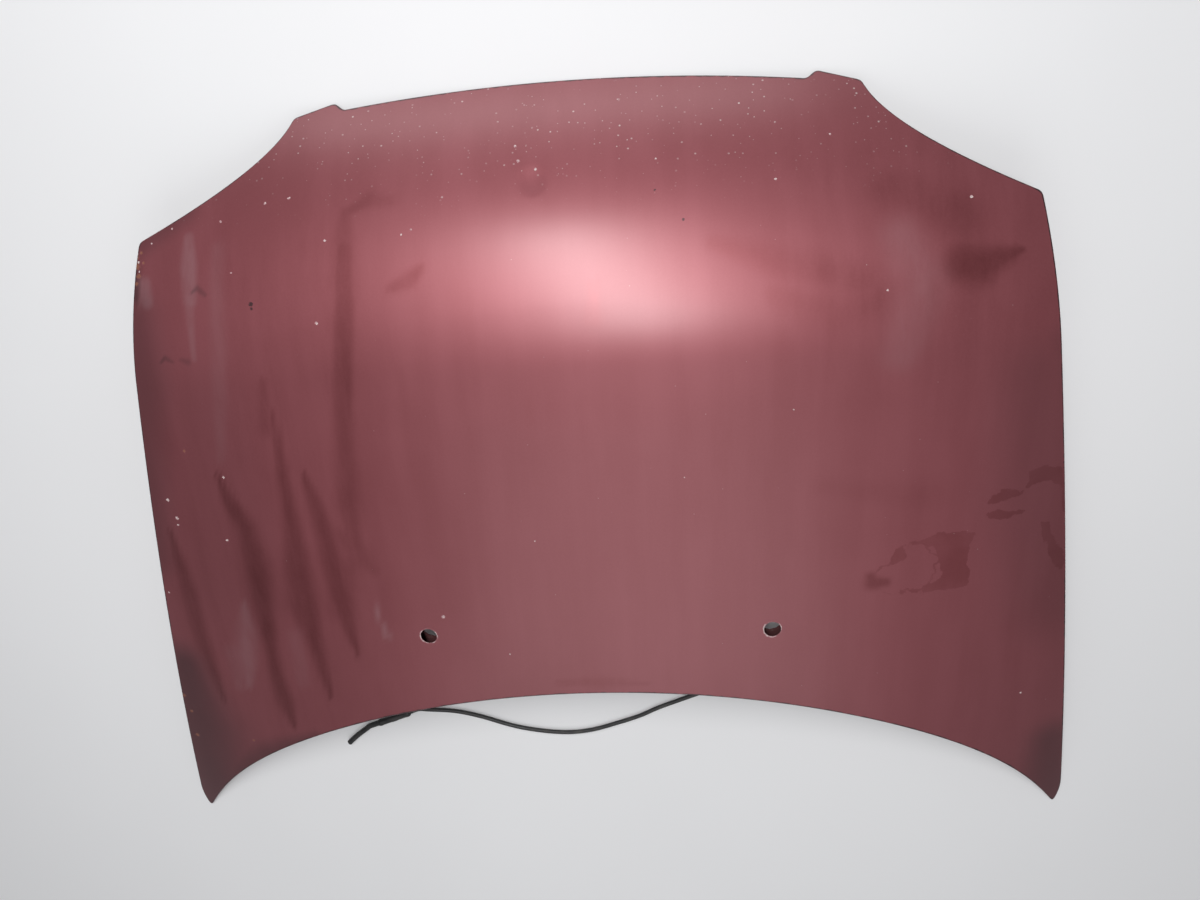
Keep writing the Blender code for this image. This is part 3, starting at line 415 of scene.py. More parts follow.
def rawHeight(x, y):
    across = (x / panel["edgeReference"]) ** 2
    roll = panel["sideRollShare"]
    side = panel["sideDrop"] * ((1 - roll) * across + roll * across ** 3)
    along = panel["lengthDrop"] * (y / panel["length"]) ** 2
    past = max(0.0, y - panel["noseStart"]) / (panel["length"] - panel["noseStart"])
    nose = panel["noseDrop"] * past ** 2
    return -side - along - nose


tipLevel = rawHeight(panel["tipHalfSpacing"], 0) - panel["tipSeat"]
noseLevel = rawHeight(0, panel["length"]) - panel["noseSeat"]


def skinPoint(x, y):
    height = rawHeight(x, y) - tipLevel - (noseLevel - tipLevel) * y / panel["length"]
    proud = max(0.0, height - panel["crownFrom"])
    return Vector((x, y, height - proud * (1 - panel["crownShare"])))


def skinNormal(x, y):
    step = 0.0005
    across = skinPoint(x + step, y) - skinPoint(x - step, y)
    along = skinPoint(x, y + step) - skinPoint(x, y - step)
    return across.cross(along).normalized()


def rearLine(count=160):
    points = []
    for step in range(count + 1):
        share = step / count
        fall = panel["archSquare"] * share ** 2 + panel["archFourth"] * share ** 4
        fall += (1 - panel["archSquare"] - panel["archFourth"]) * share ** 10
        y = panel["rearArch"] - (panel["rearArch"] + panel["tipCrop"]) * fall
        points.append(Vector((panel["tipHalfSpacing"] * share, y)))
    return points


def sideLine(count=200):
    points = []
    flare = panel["sideHalfWidth"] - panel["tipHalfSpacing"]
    for step in range(count + 1):
        share = (step / count) ** panel["sideCrowding"]
        y = -panel["tipCrop"] + (panel["corner"][1] + panel["tipCrop"]) * share
        line = panel["sideHalfWidth"] + (panel["corner"][0] - panel["sideHalfWidth"]) * share
        missing = max(0.0, 1 - (y + panel["tipCrop"]) / panel["tipFlareLength"])
        points.append(Vector((line - flare * missing ** 2, y)))
    return points


def bend(start, pull, end, count):
    points = []
    for step in range(count + 1):
        share = step / count
        points.append(start.lerp(pull, share).lerp(pull.lerp(end, share), share))
    return points


def frontLine(count=80):
    foot = panel["earFoot"]
    fall = (panel["length"] - foot[1]) / foot[0] ** 2
    places = [foot[0] * (1 - step / count) for step in range(count + 1)]
    return [Vector((x, panel["length"] - fall * x ** 2)) for x in places]


def cutBack(points, length):
    kept = list(points)
    while (kept[-1] - kept[-2]).length <= length:
        length -= (kept[-1] - kept[-2]).length
        kept.pop()
    kept[-1] = kept[-1].lerp(kept[-2], length / (kept[-1] - kept[-2]).length)
    return kept


def trimmed(points, atStart, atEnd):
    if atEnd:
        points = cutBack(points, atEnd)
    if atStart:
        points = list(reversed(cutBack(list(reversed(points)), atStart)))
    return points


def spread(points, count):
    lengths = [0.0]
    for before, after in zip(points, points[1:]):
        lengths.append(lengths[-1] + (after - before).length)
    chosen = []
    index = 1
    for step in range(count + 1):
        target = lengths[-1] * step / count
        while index < len(points) - 1 and lengths[index] < target:
            index += 1
        span = lengths[index] - lengths[index - 1]
        chosen.append(points[index - 1].lerp(points[index], (target - lengths[index - 1]) / span))
    return chosen


def edgeCurves():
    # right half of the edge: rear centre to tip, tip to front corner, front corner to front centre
    tip, corner = Vector((panel["tipHalfSpacing"], -panel["tipCrop"])), Vector(panel["corner"])
    outer, inner, foot = Vector(panel["earOuter"]), Vector(panel["earInner"]), Vector(panel["earFoot"])
    tipCut, cornerCut = panel["tipRounding"], panel["cornerRounding"]
    earCut, footCut = panel["earRounding"], panel["footRounding"]
    rear = trimmed(rearLine(), 0, tipCut)
    side = trimmed(sideLine(), tipCut, cornerCut)
    lamp = trimmed(bend(corner, Vector(panel["lampCutPull"]), outer, 60), cornerCut, earCut)
    ear = trimmed([outer, inner], earCut, earCut)
    step = trimmed([inner, foot], earCut, footCut)
    front = trimmed(frontLine(), footCut, 0)
    bends, earBends = panel["bendSteps"], panel["earBendSteps"]
    tipBend = bend(rear[-1], tip, side[0], bends)
    cornerBend = bend(side[-1], corner, lamp[0], bends)
    outerBend = bend(lamp[-1], outer, ear[0], earBends)
    innerBend = bend(ear[-1], inner, step[0], earBends)
    footBend = bend(step[-1], foot, front[0], earBends)
    columns, rows, half = panel["columns"], panel["rows"], bends // 2
    lampSteps, earSteps = panel["lampSteps"], panel["earSteps"]
    rearRun = spread(rear, columns - half)[:-1] + tipBend[:half + 1]
    sideRun = tipBend[half:-1] + spread(side, rows - bends)[:-1] + cornerBend[:half + 1]
    frontSteps = columns - half - lampSteps - earSteps - 1 - 3 * earBends
    frontRun = (cornerBend[half:-1] + spread(lamp, lampSteps)[:-1] + outerBend[:-1]
                + spread(ear, earSteps)[:-1] + innerBend[:-1] + spread(step, 1)[:-1] + footBend[:-1]
                + spread(front, frontSteps))
    return rearRun, sideRun, frontRun


def movedIn(loop, distance):
    moved = []
    for index, point in enumerate(loop):
        before = (point - loop[index - 1]).normalized()
        after = (loop[(index + 1) % len(loop)] - point).normalized()
        normals = Vector((-before.y, before.x)) + Vector((-after.y, after.x))
        moved.append(point + normals / max(panel["mitreLimit"], 1 + before.dot(after)) * distance)
    return moved


def panelLoop():
    # whole edge, anticlockwise from the rear centre, moved in by the hem's radius
    rearRun, sideRun, frontRun = edgeCurves()
    half = rearRun[:-1] + sideRun[:-1] + frontRun
    loop = half + [Vector((-point.x, point.y)) for point in reversed(half[1:-1])]
    return movedIn(loop, panel["hemRadius"])


def lengthShares(points):
    lengths = [0.0]
    for before, after in zip(points, points[1:]):
        lengths.append(lengths[-1] + (after - before).length)
    return [length / lengths[-1] for length in lengths]


def gridPlan():
    # plan places of the skin's grid, blended between its four edges
    loop = panelLoop()
    columns, rows = panel["columns"], panel["rows"]
    size = len(loop)
    rear = [loop[index % size] for index in range(-columns, columns + 1)]
    right = [loop[columns + index] for index in range(rows + 1)]
    top = [loop[columns + rows + index] for index in range(2 * columns + 1)]
    top.reverse()
    left = [Vector((-point.x, point.y)) for point in right]
    plan = []
    rearShares, topShares, sideShares = lengthShares(rear), lengthShares(top), lengthShares(right)
    for row in range(rows + 1):
        up = sideShares[row]
        line = []
        for column in range(2 * columns + 1):
            over = rearShares[column] * (1 - up) + topShares[column] * up
            point = rear[column] * (1 - up) + top[column] * up + left[row] * (1 - over) + right[row] * over
            point = point - (rear[0] * (1 - over) + rear[-1] * over) * (1 - up)
            point = point - (top[0] * (1 - over) + top[-1] * over) * up
            line.append(point)
        plan.append(line)
    return plan


def drape(form):
    for vertex in form.verts:
        vertex.co = skinPoint(vertex.co.x, vertex.co.y)


def nearJet(x, y, reach):
    return (Vector((abs(x), y)) - Vector(panel["jet"])).length < reach


def hemReach(point):
    # width of the folded flange, which tapers off towards each corner
    width = panel["hemWidth"]
    corners = [((panel["tipHalfSpacing"], 0.0), panel["hemTaperTip"])]
    corners += [(panel[name], panel["hemTaper"]) for name in ("corner", "earOuter", "earInner")]
    for corner, taper in corners:
        away = (Vector((abs(point.x), point.y)) - Vector(corner)).length
        width = min(width, panel["hemLeast"] + taper * away)
    return width


def openJets(item):
    # finer faces round each washer jet hole, then the hole itself
    radius = panel["jetRadius"]
    selectFaces(item, lambda middle: nearJet(middle.x, middle.y, panel["jetFine"] * radius))
    bpy.ops.mesh.subdivide(number_cuts=panel["jetCuts"])
    selectFaces(item, lambda middle: nearJet(middle.x, middle.y, radius))
    bpy.ops.mesh.delete(type="FACE")
    form = bmesh.from_edit_mesh(item.data)
    for vertex in form.verts:
        if vertex.is_boundary and nearJet(vertex.co.x, vertex.co.y, panel["jetLip"] * radius):
            side = math.copysign(1, vertex.co.x)
            centre = Vector((panel["jet"][0] * side, panel["jet"][1], 0))
            away = Vector((vertex.co.x, vertex.co.y, 0)) - centre
            vertex.co = centre + away.normalized() * radius
    bmesh.update_edit_mesh(item.data)


def rollHem(item):
    # the edge is extruded round a roll and back under the panel
    form = bmesh.from_edit_mesh(item.data)
    form.normal_update()
    rolls = {}
    outward = {}
    for edge in form.edges:
        edge.select_set(False)
        if edge.is_boundary and not nearJet(*edge.verts[0].co.xy, panel["jetLip"] * panel["jetRadius"]):
            edge.select_set(True)
            face = edge.link_faces[0]
            middle = (edge.verts[0].co + edge.verts[1].co) / 2
            run = (edge.verts[1].co - edge.verts[0].co).normalized()
            square = run.cross(face.normal).normalized()
            if square.dot(middle - face.calc_center_median()) < 0:
                square.negate()
            for vertex in edge.verts:
                outward.setdefault(vertex.index, []).append(square)
    for vertex in form.verts:
        if vertex.index in outward:
            first, second = outward[vertex.index]
            mitre = (first + second) / max(panel["mitreLimit"], 1 + first.dot(second))
            rolls[tuple(vertex.co)] = (mitre, skinNormal(*vertex.co.xy), hemReach(vertex.co.xy))
    # how far out, down and back each ring of the roll lies; the last is the flange's edge
    radius, steps = panel["hemRadius"], panel["hemSteps"]
    angles = [math.pi * step / steps for step in range(1, steps + 1)]
    stages = [(radius * math.sin(angle), radius * (1 - math.cos(angle)), 0) for angle in angles]
    stages.append((0, 2 * radius, 1))
    bmesh.update_edit_mesh(item.data)
    origins = {}
    for out, down, back in stages:
        bpy.ops.mesh.extrude_edges_move()
        form = bmesh.from_edit_mesh(item.data)
        fresh = {}
        for vertex in form.verts:
            if vertex.select:
                start = origins.get(tuple(vertex.co), tuple(vertex.co))
                mitre, up, width = rolls[start]
                place = Vector(start) + mitre * (out - back * width) - up * down
                fresh[vertex] = (start, place)
        origins = {}
        for vertex, (start, place) in fresh.items():
            vertex.co = place
            origins[tuple(vertex.co)] = start
        bmesh.update_edit_mesh(item.data)


# marks on the paint: their places in plan and their sizes are in millimetres

marks = {
    "strokes": [        # wiped through the dust: points with half widths, then depth and softness
        ([(-267, 890, 6), (-268, 860, 12), (-269, 800, 12.5)], 0.22, 0.9),
        ([(-268, 850, 10), (-270, 790, 12), (-280, 720, 12), (-290, 655, 12)], 0.29, 0.5),
        ([(-290, 655, 12), (-297, 600, 13), (-303, 534, 14), (-302, 470, 5)], 0.27, 0.85),
        ([(-379, 660, 3), (-383, 576, 8), (-384, 494, 12), (-388, 440, 18), (-392, 390, 21), (-390, 345, 12),
          (-388, 300, 9), (-384, 235, 3)], 0.38, 0.85),
        ([(-472, 580, 3), (-464, 540, 9), (-446, 505, 13), (-445, 454, 16), (-452, 380, 15), (-455, 320, 10),
          (-457, 270, 10), (-455, 225, 12), (-452, 180, 4)], 0.42, 0.85),
        ([(-356, 585, 3), (-344, 521, 11), (-340, 454, 15), (-337, 400, 15), (-334, 350, 9), (-330, 305, 3)],
          0.36, 0.85),
        ([(-330, 500, 8), (-300, 465, 16), (-284, 440, 6)], 0.18, 0.9),
        ([(-561, 500, 3), (-559, 456, 8), (-558, 403, 12), (-558, 323, 12), (-556, 273, 9), (-553, 220, 3)],
          0.4, 0.85),
        ([(-300, 480, 6), (-330, 420, 20), (-350, 380, 16)], 0.18, 0.9),
        ([(-385, 700, 6), (-392, 640, 10)], 0.2, 0.9),
        ([(-212, 804, 6), (-192, 812, 10), (-177, 824, 6)], 0.36, 0.8),
        ([(-262, 893, 5), (-235, 905, 9), (-212, 900, 7)], 0.22, 0.9),
        ([(160, 836, 8), (240, 808, 18), (325, 785, 20)], 0.28, 0.95),
        ([(230, 775, 12), (300, 755, 24), (345, 765, 20)], 0.22, 0.95),
        ([(438, 797, 20), (458, 793, 21), (480, 800, 13), (506, 808, 4)], 0.36, 0.75),
        ([(360, 880, 18), (440, 850, 24)], 0.2, 0.95),
        ([(23, 798, 6), (20, 757, 11)], 0.26, 0.8),
        ([(-60, 262, 4), (0, 262, 9), (60, 258, 3)], 0.26, 0.8),
        ([(285, 540, 10), (420, 520, 18)], 0.1, 0.9),
        ([(349, 412, 7), (352, 403, 10), (368, 403, 6)], 0.5, 0.85),
    ],
    "haze": [        # paler dust left behind
        ([(-465, 872, 6), (-465, 840, 10), (-465, 800, 8)], 0.36, 0.6),
        ([(-466, 805, 6), (-469, 730, 3)], 0.24, 0.8),
        ([(-427, 857, 8), (-434, 740, 10), (-462, 600, 6)], 0.12, 0.8),
        ([(-478, 390, 4), (-486, 345, 13), (-497, 300, 14), (-505, 250, 5)], 0.26, 0.85),
        ([(-527, 821, 9), (-524, 800, 8)], 0.38, 0.6),
        ([(-293, 415, 1), (-292, 374, 2), (-284, 339, 5)], 0.34, 0.8),
        ([(372, 830, 20), (392, 780, 26), (372, 700, 18)], 0.16, 0.9),
        ([(-415, 340, 10), (-420, 260, 8)], 0.12, 0.9),
        ([(-516, 310, 10), (-520, 250, 8)], 0.16, 0.9),
    ],
    "stains": [        # filled shapes with sharp edges
        [(396, 459), (410, 463), (429, 471), (474, 467), (469, 447), (473, 389), (416, 385), (388, 386),
         (388, 390), (418, 393), (437, 404), (434, 434), (422, 450), (408, 455), (396, 454)],
        [(372, 428), (386, 432), (392, 444), (389, 452), (396, 458), (384, 456), (378, 446), (375, 435)],
        [(486, 505), (490, 517), (508, 522), (526, 519), (530, 524), (534, 544), (552, 551), (576, 545),
         (586, 520), (590, 488), (582, 484), (576, 520), (560, 530), (540, 524), (524, 512), (506, 508),
         (494, 502)],
        [(484, 492), (500, 498), (514, 493), (532, 490), (508, 484), (490, 482)],
        [(556, 474), (566, 472), (580, 444), (594, 420), (594, 404), (582, 406), (568, 437)],
    ],
    "outline": [        # a stain that shows only by its edge
        (408, 461), (395, 459), (392, 452), (385, 437), (377, 436), (371, 428), (349, 419), (344, 414),
        (346, 398), (358, 390), (377, 385), (388, 389), (416, 387), (429, 413), (431, 434),
    ],
    "stainArea": (320, 360, 570),   # the stains lie beyond the first in x, between the others in y
    "stainReach": 12,
    "rimReach": 30,
    "holeReach": 10,
    "grimeAndShade": [        # dirt, and painted shade down both flanks, written like the strokes
        ([(-620, 10, 60), (-605, 160, 56), (-600, 280, 30)], 0.58, 0.95),
        ([(-640, 10, 50), (-585, 50, 42), (-510, 115, 26), (-420, 160, 10)], 0.55, 0.95),
        # painted shade down the left and right flanks
        ([(-470, 660, 50), (-480, 420, 70)], 0.1, 0.9),
        ([(530, 660, 40), (555, 520, 62), (585, 360, 50)], 0.19, 0.9),
        ([(635, 0, 50), (620, 120, 30)], 0.52, 0.95),
        ([(560, 60, 20), (480, 120, 8)], 0.2, 0.95),
        # more painted shade down the left and right flanks
        ([(-545, 780, 30), (-550, 700, 36), (-575, 600, 36), (-600, 460, 30)], 0.34, 0.9),
        ([(560, 700, 20), (590, 560, 28), (618, 380, 28)], 0.2, 0.9),
        ([(-530, 869, 14), (-470, 905, 14)], 0.3, 0.9),
        ([(-463, 809, 1), (-455, 814, 3), (-445, 806, 2)], 0.4, 0.95),
        ([(-515, 727, 2), (-508, 733, 3), (-498, 727, 1)], 0.44, 0.95),
        ([(-487, 730, 2), (-478, 727, 4)], 0.26, 0.95),
        ([(-541, 866, 5), (-538, 840, 5), (-537, 800, 4)], 0.6, 0.9),
    ],
    "chips": [        # bare primer: place and radius
        (-552, 543, 2), (-545, 517, 2.2), (-546, 507, 1.6), (-480, 486, 1.7), (-464, 576, 1.6),
        (-203, 370, 2.4), (-368, 907, 1.6), (-338, 911, 1.8), (-292, 861, 1.6), (-307, 768, 1.7),
        (-187, 868, 1.3), (-199, 863, 1.2), (-60, 937, 1.9), (-64, 954, 1.7), (-40, 927, 1.7),
        (235, 900, 1.4), (452, 868, 1.7), (355, 773, 1.2), (-150, 902, 1.2), (-424, 889, 1.4),
        (100, 930, 1.2), (300, 945, 1.3), (-590, 402, 1.6), (562, 214, 1.5), (-534, 857, 1.2),
        (-533, 847, 1.4), (-532, 836, 1.2), (-537, 846, 1.1), (-515, 868, 1.2), (-488, 884, 1.3),
        (-410, 830, 1), (120, 560, 0.9), (-70, 480, 0.9), (250, 640, 0.9), (-120, 310, 1),
    ],
    "rust": [        # place and radius
        (-538, 862, 3.5), (-537, 852, 4.5), (-535, 842, 4), (-533, 831, 3), (-536, 822, 2.4),
        (-529, 858, 1.8), (-526, 846, 1.6), (-510, 612, 2), (-619, 223, 2.8), (-615, 194, 2.6),
        (-619, 148, 3.2), (-524, 149, 1.8),
    ],
    "spots": [        # dark specks of dirt
        (129, 862, 1.6), (98, 896, 1.3), (-387, 793, 2.6), (-387, 788, 1.8),
    ],
    "dent": (-44, 915),
    "dentRadius": 21,
    "dentDepth": 1.2,
    "finePlaces": [        # boxes of the grid that get smaller faces: x from and to, y from and to
        (335, 485, 375, 480), (478, 600, 400, 556), (-75, -15, 885, 945), (-320, -245, 590, 915),
        (-525, -430, 715, 885),
    ],
    "fineCuts": 2,
}


def metres(value):
    return [metres(part) for part in value] if isinstance(value, (list, tuple)) else value / 1000


def offLine(x, y, start, end):
    # share along a line at the place nearest to a point, and the distance to it
    run = (end[0] - start[0], end[1] - start[1])
    share = ((x - start[0]) * run[0] + (y - start[1]) * run[1]) / (run[0] ** 2 + run[1] ** 2)
    share = min(1, max(0, share))
    return share, math.hypot(x - start[0] - run[0] * share, y - start[1] - run[1] * share)


def lineShare(x, y, points, softness):
    # 1 on the line, 0 well beyond its half width, which changes from point to point
    best = 0.0
    for start, end in zip(points, points[1:]):
        share, away = offLine(x, y, start, end)
        width = start[2] + (end[2] - start[2]) * share
        best = max(best, (width * (1 + softness) - away) / (2 * width * softness))
    fade = min(1, best)
    return fade * fade * (3 - 2 * fade)


def shapeDepth(x, y, corners):
    # distance to the shape's edge as a share of the reach, positive inside
    reach = metres(marks["stainReach"])
    nearest, inside = reach, False
    for index, end in enumerate(corners):
        start = corners[index - 1]
        nearest = min(nearest, offLine(x, y, start, end)[1])
        if (start[1] > y) != (end[1] > y):
            if x < start[0] + (end[0] - start[0]) * (y - start[1]) / (end[1] - start[1]):
                inside = not inside
    return nearest / reach if inside else -nearest / reach


def addMarks(item, middle):
    # point attributes for the paint, from places in plan
    values = {"wipe": [], "haze": [], "grimeAndShade": [], "stain": [], "outline": [], "rim": [], "hole": []}
    reach, holeReach = metres(marks["rimReach"]), metres(marks["holeReach"])
    lines = {name: [(metres(points), depth, softness) for points, depth, softness in marks[group]]
             for name, group in (("wipe", "strokes"), ("haze", "haze"), ("grimeAndShade", "grimeAndShade"))}
    stains, outline = metres(marks["stains"]), metres(marks["outline"])
    cells = {}
    for point in panelLoop():
        cells.setdefault((round(point.x / reach), round(point.y / reach)), []).append(point)
    stainX, stainLow, stainHigh = metres(marks["stainArea"])
    for vertex in item.data.vertices:
        x, y = vertex.co.x, vertex.co.y + middle
        for name, group in lines.items():
            values[name].append(max(depth * lineShare(x, y, points, softness)
                                    for points, depth, softness in group))
        near = x > stainX and stainLow < y < stainHigh
        values["stain"].append(max(shapeDepth(x, y, shape) for shape in stains) if near else -1.0)
        values["outline"].append(shapeDepth(x, y, outline) if near else -1.0)
        nearest = reach
        cell = (round(x / reach), round(y / reach))
        for across in (-1, 0, 1):
            for along in (-1, 0, 1):
                for point in cells.get((cell[0] + across, cell[1] + along), ()):
                    nearest = min(nearest, math.hypot(point.x - x, point.y - y))
        values["rim"].append(nearest / reach)
        away = (Vector((abs(x), y)) - Vector(panel["jet"])).length - panel["jetRadius"]
        values["hole"].append(min(1.0, max(0.0, away / holeReach)))
    for name, numbers in values.items():
        item.data.attributes.new(name, "FLOAT", "POINT").data.foreach_set("value", numbers)


paint = {
    "deep": (0.158, 0.019, 0.023),
    "dusty": (0.274, 0.071, 0.085),
    "hazy": (0.37, 0.2, 0.22),
    # near-black for dirt specks, and for the painted shade down the sides and along the hem's edge
    "dirtAndShade": (0.022, 0.01, 0.013),
    "chip": (0.68, 0.6, 0.58),
    "rust": (0.19, 0.062, 0.03),
    "roughness": (0.36, 0.48),
    "metallic": (0.8, 0.62),
    "coat": 0.75,
    "coatRoughness": 0.3,
    "noseFlecks": [(95, 0.14, 0.4), (161.5, 0.16, 0.62)],     # scale, size and rarity
    "strayFlecks": (60, 0.045, 0.7),
    "fleckFrom": (0.35, 0.46),     # the flecks on the nose come in between these two places
    "noseFleckShare": 0.7,
    "strayFleckShare": 0.385,
}


def spotField(net, places):
    # distance to the nearest spot, as a share of its radius
    nearest = None
    for x, y, radius in metres(places):
        place = skinPoint(x, y) - Vector((0, panel["length"] / 2, 0))
        reach = net.add("ShaderNodeVectorMath", {0: net.place, 1: place}, operation="DISTANCE")
        share = net.math("DIVIDE", reach.outputs["Value"], radius)
        nearest = share if nearest is None else net.math("MINIMUM", nearest, share)
    return net.plus(nearest, net.ramp(net.noise(520, 3, 0.7), 0.3, 0.7, -0.35, 0.35))


def fleckField(net, scale, size, rarity):
    # small round flecks, one in some of the cells
    cells = net.add("ShaderNodeTexVoronoi", {"Vector": net.place, "Scale": scale}, feature="F1")
    split = net.add("ShaderNodeSeparateColor", {0: cells.outputs["Color"]})
    chosen = net.ramp(split.outputs[0], rarity, rarity + 0.02, 0.0, 1.0)
    spot = net.ramp(cells.outputs["Distance"], size * 0.6, size, 1.0, 0.0)
    return net.times(spot, chosen)


def paintMaterial(settings):
    net = Wiring("dustyMetallicRed")
    along = net.add("ShaderNodeSeparateXYZ", {0: net.place})
    rim = net.field("rim")
    broad = net.noise(3.2, 4, 0.6)
    streaky = net.noise(7, 4, 0.6, stretch=(3.4, 0.4, 1.0))
    fine = net.noise(380, 3, 0.7)
    brushed = net.noise(34, 5, 0.65, stretch=(2.0, 0.6, 1.0))
    # dust over the paint, thinner where a hand or a cloth went through it
    dust = net.ramp(broad, 0.25, 0.75, 0.72, 0.94)
    dust = net.plus(dust, net.ramp(streaky, 0.35, 0.7, -0.08, 0.06))
    dust = net.plus(dust, net.ramp(fine, 0.3, 0.7, -0.04, 0.04))
    ragged = net.times(net.field("wipe"), net.ramp(brushed, 0.3, 0.7, 0.85, 1.15))
    dust = net.math("SUBTRACT", dust, ragged, True)
    color = net.mix(dust, settings["deep"], settings["dusty"])
    haze = net.times(net.field("haze"), net.ramp(brushed, 0.3, 0.65, 0.6, 1.1))
    color = net.mix(haze, color, settings["hazy"])
    # stains with a darker line round them
    wobble = net.ramp(net.noise(75, 5, 0.65), 0.3, 0.7, -0.2, 0.2)
    wobble = net.plus(wobble, net.ramp(net.noise(30, 2), 0.3, 0.7, -0.18, 0.18))
    stain = net.ramp(net.plus(net.field("stain"), wobble), -0.03, 0.06)
    inside = net.times(stain, net.ramp(net.noise(26, 4), 0.3, 0.7, 0.34, 0.58))
    line = net.plus(net.field("outline"), wobble)
    line = net.ramp(net.math("ABSOLUTE", line), 0.05, 0.14, 0.45, 0.0)
    line = net.times(line, net.ramp(net.noise(38, 2), 0.42, 0.58, 0.15, 1.0))
    color = net.mix(net.most(inside, line), color, settings["deep"])
    # dirt in places, painted shade down the sides, darker towards the tips, and dirt with painted shade along
    # the very edge
    grimeAndShade = net.times(net.field("grimeAndShade"), net.ramp(broad, 0.3, 0.7, 0.8, 1.1))
    # the very edge, within about 1.5 mm of the hem, goes near-black: partly dirt, partly painted shade of the
    # gap under the hem
    edge = net.plus(rim, net.ramp(net.noise(110, 4), 0.3, 0.7, -0.02, 0.02))
    edge = net.ramp(edge, 0.0, 0.05, 0.9, 0.0)
    color = net.mix(net.most(grimeAndShade, edge), color, settings["dirtAndShade"])
    # chips, flecks and rust
    pale = net.mix(net.ramp(fine, 0.35, 0.65), settings["chip"], settings["hazy"])
    chip = net.ramp(spotField(net, marks["chips"]), 0.75, 1.15, 1.0, 0.0)
    clumps = net.ramp(net.noise(11, 3, 0.6), 0.36, 0.56, 0.15, 1.0)
    nose = net.times(net.ramp(along.outputs[1], *settings["fleckFrom"]), clumps)
    fleck = net.most(*[fleckField(net, *values) for values in settings["noseFlecks"]])
    fleck = net.times(net.times(fleck, nose), settings["noseFleckShare"])
    stray = net.times(fleckField(net, *settings["strayFlecks"]), settings["strayFleckShare"])
    color = net.mix(net.most(fleck, stray), color, pale)
    color = net.mix(net.times(chip, 0.85), color, pale)
    spot = net.ramp(spotField(net, marks["spots"]), 0.7, 1.2, 0.85, 0.0)
    color = net.mix(spot, color, settings["dirtAndShade"])
    rust = net.ramp(spotField(net, marks["rust"]), 0.5, 1.3, 0.9, 0.0)
    color = net.mix(rust, color, settings["rust"])
    # bare metal round the washer jet holes
    holeRim = net.plus(net.field("hole"), net.ramp(brushed, 0.3, 0.7, -0.1, 0.1))
    holeRim = net.ramp(holeRim, 0.04, 0.2, 0.8, 0.0)
    holeRim = net.times(holeRim, net.ramp(net.noise(95, 3), 0.46, 0.56, 0.1, 1.0))
    color = net.mix(holeRim, color, pale)
    bare = net.most(net.most(chip, rust), holeRim)
    roughness = net.ramp(dust, 0.1, 0.9, *settings["roughness"])
    roughness = net.plus(roughness, net.times(bare, 0.2), True)
    metallic = net.ramp(dust, 0.1, 0.9, *settings["metallic"])
    metallic = net.math("SUBTRACT", metallic, bare, True)
    normal = net.bump(net.noise(240, 2, 0.4), 0.04, 0.0006)
    normal = net.bump(net.times(bare, -1.0), 0.5, 0.0003, normal)
    net.shader.inputs["Coat Weight"].default_value = settings["coat"]
    net.shader.inputs["Coat Roughness"].default_value = settings["coatRoughness"]
    return net.finish(color, roughness, metallic, normal)


def finerFaces(item, boxes, cuts):
    selectFaces(item, lambda middle: any(left < middle.x < right and low < middle.y < high
                                         for left, right, low, high in boxes))
    bpy.ops.mesh.subdivide(number_cuts=cuts)
    bpy.ops.mesh.select_all(action="DESELECT")


def pressDent(form):
    # a knock in the nose, pushed in along the panel's own normal
    centre = Vector(metres(marks["dent"]))
    radius, deep = metres(marks["dentRadius"]), metres(marks["dentDepth"])
    for vertex in form.verts:
        share = (vertex.co.xy - centre).length / radius
        if share < 1:
            vertex.co -= skinNormal(*vertex.co.xy) * deep * (1 - share ** 2) ** 2


def makeSkin(material, innerMaterial):
    # a flat grid, draped on the crown, with its edge rolled into a hem
    plan = gridPlan()
    rows, columns = panel["rows"], panel["columns"]
    deselectAll()
    bpy.ops.mesh.primitive_grid_add(x_subdivisions=2 * columns, y_subdivisions=rows, size=1)
    skin = bpy.context.active_object
    skin.name = "bonnetSkin"
    width = 2 * columns + 1
    for index, vertex in enumerate(skin.data.vertices):
        point = plan[index // width][index % width]
        vertex.co = (point.x, point.y, 0)
    bpy.ops.object.mode_set(mode="EDIT")
    bpy.ops.mesh.select_all(action="DESELECT")
    bpy.ops.mesh.select_mode(type="FACE")
    finerFaces(skin, metres(marks["finePlaces"]), marks["fineCuts"])
    openJets(skin)
    drape(bmesh.from_edit_mesh(skin.data))
    pressDent(bmesh.from_edit_mesh(skin.data))
    bmesh.update_edit_mesh(skin.data)
    bpy.ops.mesh.select_mode(type="EDGE")
    bpy.ops.mesh.select_all(action="DESELECT")
    rollHem(skin)
    bpy.ops.mesh.select_all(action="SELECT")
    bpy.ops.transform.translate(value=(0, -panel["length"] / 2, 0))
    bpy.ops.object.mode_set(mode="OBJECT")
    addMarks(skin, panel["length"] / 2)
    dress(skin, material, innerMaterial)
    thicken(skin, panel["sheet"], 1)
    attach(skin, "root")
    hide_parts("outer_skin")


makeSkin(paintMaterial(paint), plainMaterial("thinPaint"))
print("skin rolled")


# inner frame and its fittings keep the CAD's shapes, with their own finishes

fittings = {
    "edge": 0.0003,
    "masticEdge": 0.0008,
    "bevelSegments": 2,
    "bevelAngle": 40,      # degrees; sharper creases than this are eased
    "flatAngle": 0.5,      # degrees; faces flatter than this are joined
}


